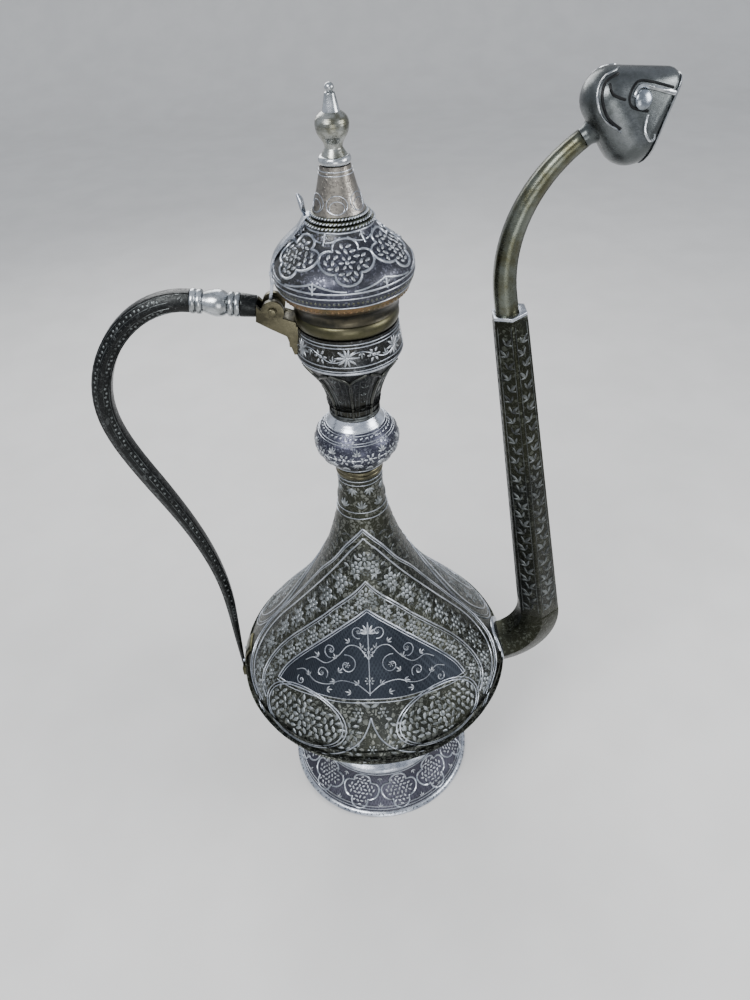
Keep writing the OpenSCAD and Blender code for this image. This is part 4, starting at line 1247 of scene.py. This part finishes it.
class EWER_OT_handle(bpy.types.Operator):
    """Turned socket and grip, long tapered bar and its plate on the body"""

    bl_idname = "ewer.handle"
    bl_label = "Handle"

    def execute(self, context):
        """Builds the handle."""
        self.turnings()
        self.bar()
        self.foot()
        return {"FINISHED"}

    def turnings(self):
        """Socket, rings and baluster between bracket and bar."""
        for name, node, finish, slot in (
                ("grip_socket", "handle_socket", "bar", "black_bar"),
                ("grip_rings_inner", "handle_rings_inner", "polish", "polished_turnings"),
                ("grip_baluster", "handle_baluster", "polish", "polished_turnings"),
                ("grip_rings_outer", "handle_rings_outer", "polish", "polished_turnings")):
            softened(name, (node,), finish, VESSEL, 0.3)

    def bar(self):
        """Six-sided bar that bows out and tapers to a point."""
        route = bar_route()
        full, thin, tip = 6.6 * MM, 3.9 * MM, 1.4 * MM
        full_z, thin_z, tip_z = 0.308, 0.190, 0.117
        radii = []
        for spot in route:
            if spot.z > full_z:
                radii.append(full)
            elif spot.z > thin_z:
                radii.append(thin + (full - thin) * (spot.z - thin_z) / (full_z - thin_z))
            else:
                radii.append(tip + (thin - tip) * max(spot.z - tip_z, 0.0) / (thin_z - tip_z))
        bm = bmesh.new()
        tube(bm, route, radii, 6)
        close_ends(bm)
        long = [e for e in bm.edges if e.is_manifold and 0.6 < e.calc_face_angle(0.0) < 1.5]
        bmesh.ops.bevel(bm, geom=long, offset=0.55 * MM, segments=2, profile=0.5, affect="EDGES", material=-1,
                        clamp_overlap=True)
        bmesh.ops.recalc_face_normals(bm, faces=bm.faces)
        bar = new_piece("handle_bar_forged", bm, "bar", VESSEL, 30.0)
        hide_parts("handle_bar")
        self.figures(route, radii)

    def facet(self, route, radii, k, side, front):
        """Where one sloping face's ridge and corner lie from the bar's middle line."""
        ahead = (route[k + 1] - route[k - 1]).normalized()
        beside = Vector((0.0, 1.0, 0.0)).cross(ahead).normalized()
        ridge = Vector((0.0, front, 0.0)) * radii[k]
        corner = (Vector((0.0, front * 0.5, 0.0)) + beside * side * 0.866) * radii[k]
        return ridge, corner

    def figures(self, route, radii):
        """Punched dots and fine edge lines along the bar's four sloping faces."""
        lines, dots = [], Stamps()
        for side in (-1, 1):
            for share in (0.30, 0.84):
                path = []
                for k in range(2, len(route) - 4):
                    ridge, corner = self.facet(route, radii, k, side, -1.0)
                    path.append(route[k] + ridge.lerp(corner, share))
                lines.append(path)
                lines.append([Vector((p.x, -p.y, p.z)) for p in path])
        chased_lines("handle_bar_lines", lines, "worn_edge", VESSEL, 0.2 * MM)
        for k in range(3, len(route) - 8):
            for side in (-1, 1):
                for front in (-1.0, 1.0):
                    ridge, corner = self.facet(route, radii, k, side, front)
                    for part, share in ((0.0, 0.5), (0.5, 0.62)):
                        spot = route[k].lerp(route[k + 1], part) + ridge.lerp(corner, share)
                        out = (ridge + corner).normalized()
                        turned = out.to_track_quat("Z", "X").to_matrix().to_4x4()
                        dome(dots, Matrix.Translation(spot) @ turned, 1.7 * MM, 1.7 * MM, 0.22 * MM)
        new_piece("handle_bar_dots", dots, "worn_edge", VESSEL)

    def foot(self):
        """Plate with its rivets on the shoulder."""
        softened("handle_plate", ("handle_foot_plate",), "olive", VESSEL, 0.4)
        dress("trim", "handle_rivets")


# ---------------------------------------------------------------- spout

# Points of the spout in the plane of handle and spout, millimetres
SHAFT_FOOT = Vector((128.88, 0.0, 171.62))
SHAFT_WAY = Vector((-0.1478, 0.0, 0.9890))
SHAFT_HEAD = Vector((92.37, 0.0, 415.91))
NECK_END = Vector((124.7, 0.0, 509.2))
NECK_WAY = Vector((0.824, 0.0, 0.566))


class EWER_OT_spout(bpy.types.Operator):
    """Root flange, elbow, six-sided shaft and curved upper spout"""

    bl_idname = "ewer.spout"
    bl_label = "Spout"

    def execute(self, context):
        """Builds the spout up to its head."""
        self.flange()
        self.shaft()
        self.gooseneck()
        return {"FINISHED"}

    def flange(self):
        """Bright collar where the spout leaves the body, and the elbow above it."""
        softened("root_flange", ("spout_flange",), "trim", VESSEL, 0.4)
        softened("root_elbow", ("spout_elbow",), "spout", VESSEL, 0.3)

    def shaft(self):
        """Tapered six-sided shaft with its step cap and ridge lines."""
        softened("shaft_hexagon", ("spout_shaft",), "spout", VESSEL, 0.9, 3)
        softened("shaft_cap", ("spout_step_cap",), "trim", VESSEL, 0.35)
        foot_r, head_r = 16.5 * MM, 10.9 * MM
        out = Vector((SHAFT_WAY.z, 0.0, -SHAFT_WAY.x))
        lines, leaves = [], Stamps()
        for corner in range(6):
            angle = math.pi / 2 + corner * math.pi / 3
            for gap in (-0.13, 0.13):
                path = []
                for t in between(0.02, 0.985, 24):
                    r = foot_r + (head_r - foot_r) * t
                    first = self.corner(out, angle) * r
                    second = self.corner(out, angle + (math.pi / 3 if gap > 0 else -math.pi / 3)) * r
                    path.append(SHAFT_FOOT.lerp(SHAFT_HEAD, t) * MM + first.lerp(second, abs(gap)) * 1.002)
                lines.append(path)
            self.facet(leaves, out, angle, foot_r, head_r)
        chased_lines("shaft_lines", lines, "worn_edge", VESSEL, 0.22 * MM)
        new_piece("shaft_leaves", leaves, "worn_edge", VESSEL)

    def corner(self, out, angle):
        """Direction of a corner of the shaft."""
        return Vector((0.0, 1.0, 0.0)) * math.sin(angle) + out * math.cos(angle)

    def facet(self, bm, out, angle, foot_r, head_r):
        """A climbing row of small leaves up one face of the shaft."""
        count = 30
        for k in range(count):
            t = 0.03 + 0.94 * k / count
            r = foot_r + (head_r - foot_r) * t
            first, second = self.corner(out, angle) * r, self.corner(out, angle + math.pi / 3) * r
            middle = SHAFT_FOOT.lerp(SHAFT_HEAD, t) * MM + (first + second) / 2
            across = (second - first).normalized()
            face = across.cross(SHAFT_WAY).normalized()
            if face.dot(first) < 0:
                face = -face
            upward = face.cross(across)
            place = Matrix((across, upward, face)).transposed().to_4x4()
            place.translation = middle
            for turn, long in ((0.9, 0.55), (1.9, 0.42), (0.1, 0.36)):
                heading = turn if k % 2 else math.pi - turn
                half = r * long * 0.5
                shift = Matrix.Translation((math.cos(heading) * half, math.sin(heading) * half, 0))
                dome(bm, place @ shift, r * long, r * long * 0.32, 0.25 * MM, heading, "leaf")

    def gooseneck(self):
        """Curved upper spout, plain and round."""
        softened("spout_neck", ("spout_gooseneck",), "olive_silver", VESSEL, 0)


# ---------------------------------------------------------------- head of the spout

class EWER_OT_head(bpy.types.Operator):
    """Hooded head of the spout with its raised arc, curl and lip"""

    bl_idname = "ewer.head"
    bl_label = "Spout head"

    def execute(self, context):
        """Builds the head."""
        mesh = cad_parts["spout_head"].data
        self.solid = BVHTree.FromPolygons([v.co for v in mesh.vertices], [p.vertices for p in mesh.polygons])
        self.hood()
        self.throat()
        for name, side in (("front", -1.0), ("back", 1.0)):
            self.arc(name, side)
            self.curl_band(name, side)
        return {"FINISHED"}

    def hood(self):
        """The hood itself with softened edges, and the lip round the mouth."""
        softened("head_hood", ("spout_head",), "hood", VESSEL, 0.5, 2)
        softened("head_lip", ("spout_lip",), "polish", VESSEL, 0.3, 2)

    def throat(self):
        """Round flare that carries the gooseneck into the hood."""
        sides = 48
        row = smooth_row([(4.9, -2.0), (5.1, 0.5), (6.2, 2.6), (8.2, 4.6), (10.8, 6.6)], 4)
        turned = NECK_WAY.to_track_quat("Z", "X").to_matrix()
        flare = bmesh.new()
        rings = []
        for radius, height in row:
            angles = [2.0 * math.pi * k / sides for k in range(sides)]
            spots = [Vector((radius * math.cos(a), radius * math.sin(a), height)) for a in angles]
            rings.append([flare.verts.new((NECK_END + turned @ spot) * MM) for spot in spots])
        for low, high in zip(rings, rings[1:]):
            for k in range(sides):
                flare.faces.new((low[k], low[(k + 1) % sides], high[(k + 1) % sides], high[k]))
        flare.faces.new(rings[-1])
        flare.faces.new(rings[0][::-1])
        new_piece("head_throat", flare, "hood", VESSEL)

    def surface(self, x, z, side):
        """Point on the side of the head at a place in the plane, found on the CAD solid."""
        start = Vector((x * MM, side * 0.05, z * MM))
        spot, normal, _, _ = self.solid.ray_cast(start, Vector((0.0, -side, 0.0)), 0.1)
        if spot is None or spot.y * side < 2 * MM:
            return None
        return spot, normal

    def follow(self, places, side, lift):
        """Points on the side of the head along a curve in the plane."""
        made = []
        for x, z in smooth_row(places, 6):
            found = self.surface(x, z, side)
            if found:
                made.append(found[0] + found[1] * lift)
        return made

    def arc(self, name, side):
        """Raised rib that parts the plain hood from the curl, with a cut beside it."""
        rib = [(135, 539), (127.5, 536), (124.5, 529), (128, 520), (137, 513.5)]
        cut = [(134, 537.5), (128, 534.5), (126.5, 528), (130, 520), (136.5, 515)]
        self.line(f"head_rib_{name}", [rib], "polish", side, 0.0, 0.6)
        self.line(f"head_cut_{name}", [cut], "cut", side, -0.2, 0.8)

    def line(self, name, rows, finish, side, lift_mm, radius_mm):
        """Lines on one side of the head."""
        paths = [self.follow(row, side, lift_mm * MM) for row in rows]
        chased_lines(name, paths, finish, VESSEL, radius_mm * MM)

    def curl_band(self, name, side):
        """Bright band and groove that curl round a boss, a fold before them and a scroll below."""
        band = [(162, 527.5), (151, 531), (144, 532), (141, 528)]
        groove = [(161, 530), (151, 533), (143, 534), (139, 529), (141, 524), (149, 521.5)]
        fold = [(129.5, 534), (131, 530), (137, 527.5)]
        scroll = [(149, 520), (148, 514), (151, 509), (154, 508.5), (154, 511)]
        self.line(f"head_band_{name}", [band], "polish", side, 0.1, 1.2)
        self.line(f"head_groove_{name}", [groove, fold], "cut", side, -0.2, 0.75)
        self.line(f"head_scroll_{name}", [scroll], "polish", side, 0.0, 0.7)
        spot, normal = self.surface(146.0, 526.5, side)
        boss = bmesh.new()
        turned = normal.to_track_quat("Z", "X").to_matrix().to_4x4()
        bmesh.ops.create_uvsphere(boss, u_segments=32, v_segments=16, radius=1.0,
                                  matrix=Matrix.Translation(spot) @ turned
                                  @ Matrix.Diagonal((4.6 * MM, 4.6 * MM, 2.2 * MM, 1.0)))
        new_piece(f"head_boss_{name}", boss, "head", VESSEL)


# ---------------------------------------------------------------- lid

class EWER_OT_lid(bpy.types.Operator):
    """Sleeve, edge, copper band and medallioned dome of the lid"""

    bl_idname = "ewer.lid"
    bl_label = "Lid"

    def execute(self, context):
        """Builds the lid up to its spire."""
        dress("inside", "lid_sleeve")
        self.edge()
        self.dome()
        self.medallions()
        return {"FINISHED"}

    def edge(self):
        """Dark hollowed edge and the copper band above it."""
        rows = [("lid_edge_turned", "lid_edge", "dark_edge", "olive_patina"),
                ("lid_band_turned", "lid_band", "copper", "copper_band"),
                ("lid_flare_turned", "lid_flare", "lid", "engraved_lid")]
        for name, node, finish, slot in rows:
            row = smooth_row(outline(node), 2)
            turned_piece(name, section(row, 1.2 * MM), finish, LID, (node,), closed=True)
        band = Turned(smooth_row(outline("lid_band"), 2))
        beads = Stamps()
        for k in range(72):
            dome(beads, band.axes(5.0 * k, 439.6 * MM), 2.0 * MM, 1.5 * MM, 0.45 * MM)
        new_piece("lid_band_beads", beads, "copper", LID)
        flare = Turned(smooth_row(outline("lid_flare"), 2))
        rings = [level_ring(flare, z * MM, 0.15 * MM, 144) for z in (443.0, 448.6)]
        chased_lines("lid_flare_rings", rings, "line", LID, 0.34 * MM, True)
        dots = Stamps()
        for k in range(96):
            dome(dots, flare.axes(3.75 * k, 445.6 * MM), 1.5 * MM, 1.5 * MM, 0.35 * MM)
        new_piece("lid_flare_dots", dots, "olive_silver", LID)

    def dome(self):
        """Low dome that rises to the ring under the spire."""
        row = smooth_row(outline("lid_dome"), 3)
        turned_piece("lid_dome_turned", section(row, 1.2 * MM), "lid", LID, ("lid_dome",),
                     closed=True)

    def medallions(self):
        """Lobed medallions round the dome, filled with leaves, and bars between them."""
        wall = Turned(smooth_row(outline("lid_dome"), 3))
        count = sizes().lid_medallions
        step = 360.0 / count
        z = 463.8 * MM
        tall = 14.2 * MM
        wide = 1.04
        bold, leaves, bars = [], Stamps(), []
        for k in range(count):
            az = PANEL_AZ + 8.0 + step * k
            bold.append(lobed_path(wall, az, z, tall, 0.0, wide))
            foliage(leaves, wall, az, z, tall * wide, tall,
                    lambda x, y: in_lobes(x, y, tall * 0.82, wide) and math.hypot(x, y) > 3.8 * MM,
                    3.7 * MM, 1.0 if k % 2 else -1.0)
            flower(leaves, wall, az, z, 8.4 * MM, 6)
            between_az = az + step / 2
            bars.append([wall.point(between_az, h * MM, 0.12 * MM) for h in between(450.6, 456.0, 6)])
            bars.append([wall.point(between_az, h * MM, 0.12 * MM) for h in between(469.5, 474.8, 6)])
            spray(leaves, wall, between_az, 452.5 * MM, 4.6 * MM, math.pi / 2, 3, 1.6)
            spray(leaves, wall, between_az, 474.0 * MM, 4.0 * MM, -math.pi / 2, 3, 1.4)
            for side in (-1, 1):
                scallop = [wall.point(between_az + side * step * 0.5 * t,
                                      (455.8 - 3.4 * math.sin(math.pi * t / 2)) * MM, 0.0)
                           for t in between(0.0, 0.9, 12)]
                bars.append(scallop)
                crown = [wall.point(between_az + side * step * 0.46 * t, (470.6 + 3.0 * t * t) * MM, 0.0)
                         for t in between(0.1, 0.9, 10)]
                bars.append(crown)
        chased_lines("lid_medallions", bold, "line", LID, 0.8 * MM, True)
        chased_lines("lid_bars", bars, "line", LID, 0.55 * MM)
        rings = [level_ring(wall, h * MM, 0.0, 144) for h in (451.4, 474.6)]
        chased_lines("lid_rings", rings, "line", LID, 0.5 * MM, True)
        new_piece("lid_leaves", leaves, "leaf", LID)


# ---------------------------------------------------------------- spire and finial

class EWER_OT_spire(bpy.types.Operator):
    """Ring, spire and turned finial on the lid"""

    bl_idname = "ewer.spire"
    bl_label = "Spire and finial"

    def execute(self, context):
        """Builds everything above the dome."""
        ring = smooth_row(outline("lid_spire_ring"), 3)
        turned_piece("spire_ring_turned", self.solid(ring), "olive_silver", LID,
                     ("lid_spire_ring",))
        self.cords()
        row = smooth_row(outline("lid_spire"), 2)
        wall = Turned(row)
        turned_piece("spire_turned", self.solid(row), "pewter", LID, ("lid_spire",))
        self.lobes(wall)
        for name, node, finish in (("finial_collar_turned", "finial_collar", "polish"),
                                   ("finial_bulb_turned", "finial_bulb", "finial"),
                                   ("finial_tip_turned", "finial_tip", "polish")):
            turned_piece(name, self.solid(smooth_row(outline(node), 3)), finish, LID,
                         (node,), steps=96)
        dress("pewter", "finial_stud")
        return {"FINISHED"}

    def solid(self, row):
        """A section from the axis out along an outline and back."""
        return [(0.0, row[0][1])] + row + [(0.0, row[-1][1])]

    def cords(self):
        """Slanted beads round the three steps of the ring."""
        wall = Turned(outline("lid_spire_ring"))
        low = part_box("lid_spire_ring")[0][2]
        beads = Stamps()
        for level in range(3):
            z = low + (0.95 + 1.9 * level) * MM
            for k in range(52):
                leaf_at(beads, wall, 360.0 * k / 52, z, -0.7 * MM, -0.5 * MM, 2.2 * MM, 1.1 * MM, 0.7)
        new_piece("spire_ring_cords", beads, "line", LID)

    def lobes(self, wall):
        """Lobed engraving round the foot of the spire, and rings."""
        paths = []
        count = 6
        for k in range(count):
            az = PANEL_AZ + 360.0 * k / count
            for share in (1.0, 0.7):
                paths.append([wall.point(az + 26.0 * share * math.sin(t),
                                         (482.4 + 8.6 * share * (1 + math.cos(t)) / 2) * MM, 0.08 * MM)
                              for t in between(-math.pi, math.pi, 22)])
        chased_lines("spire_lobes", paths, "line", LID, 0.22 * MM)
        rings = [level_ring(wall, z * MM, 0.05 * MM, 72) for z in (499.6, 501.4)]
        chased_lines("spire_rings", rings, "line", LID, 0.25 * MM, True)


# ---------------------------------------------------------------- strap

class EWER_OT_strap(bpy.types.Operator):
    """Openwork strap from the hinge over the lid, with its finger leaf"""

    bl_idname = "ewer.strap"
    bl_label = "Strap"

    def execute(self, context):
        """Builds the strap, the leaf and the rivets."""
        softened("hinge_strap", ("thumb_strap",), "trim", LID, 0.35)
        softened("finger_leaf", ("thumb_leaf",), "trim", LID, 0.2, 1)
        dress("trim", "lid_rivets")
        return {"FINISHED"}


# ---------------------------------------------------------------- panel and start

OPERATORS = (EWER_OT_finishes, EWER_OT_stage, EWER_OT_foot, EWER_OT_body, EWER_OT_panels, EWER_OT_neck,
             EWER_OT_hinge, EWER_OT_handle, EWER_OT_spout, EWER_OT_head, EWER_OT_lid, EWER_OT_spire,
             EWER_OT_strap)


class EWER_PT_panel(bpy.types.Panel):
    """The pot's pieces in the sidebar"""

    bl_idname = "EWER_PT_panel"
    bl_label = "Engraved ewer"
    bl_space_type = "VIEW_3D"
    bl_region_type = "UI"
    bl_category = "Ewer"

    def draw(self, context):
        """Draws the settings and one button for each operator."""
        for group in (context.scene.ewer_sizes, context.scene.ewer_colours):
            for name in group.__annotations__:
                self.layout.prop(group, name)
        for kind in OPERATORS:
            self.layout.operator(kind.bl_idname)


CLASSES = (EwerSizes, EwerColours, *OPERATORS, EWER_PT_panel)


def register():
    """Registers the classes and the settings."""
    for kind in CLASSES:
        bpy.utils.register_class(kind)
    bpy.types.Scene.ewer_sizes = PointerProperty(type=EwerSizes)
    bpy.types.Scene.ewer_colours = PointerProperty(type=EwerColours)


def unregister():
    """Takes the settings and the classes away."""
    del bpy.types.Scene.ewer_sizes
    del bpy.types.Scene.ewer_colours
    for kind in reversed(CLASSES):
        bpy.utils.unregister_class(kind)


def main():
    """Builds the whole pot."""
    register()
    for kind in OPERATORS:
        group, name = kind.bl_idname.split(".")
        getattr(getattr(bpy.ops, group), name)()


if __name__ == "__main__":
    main()
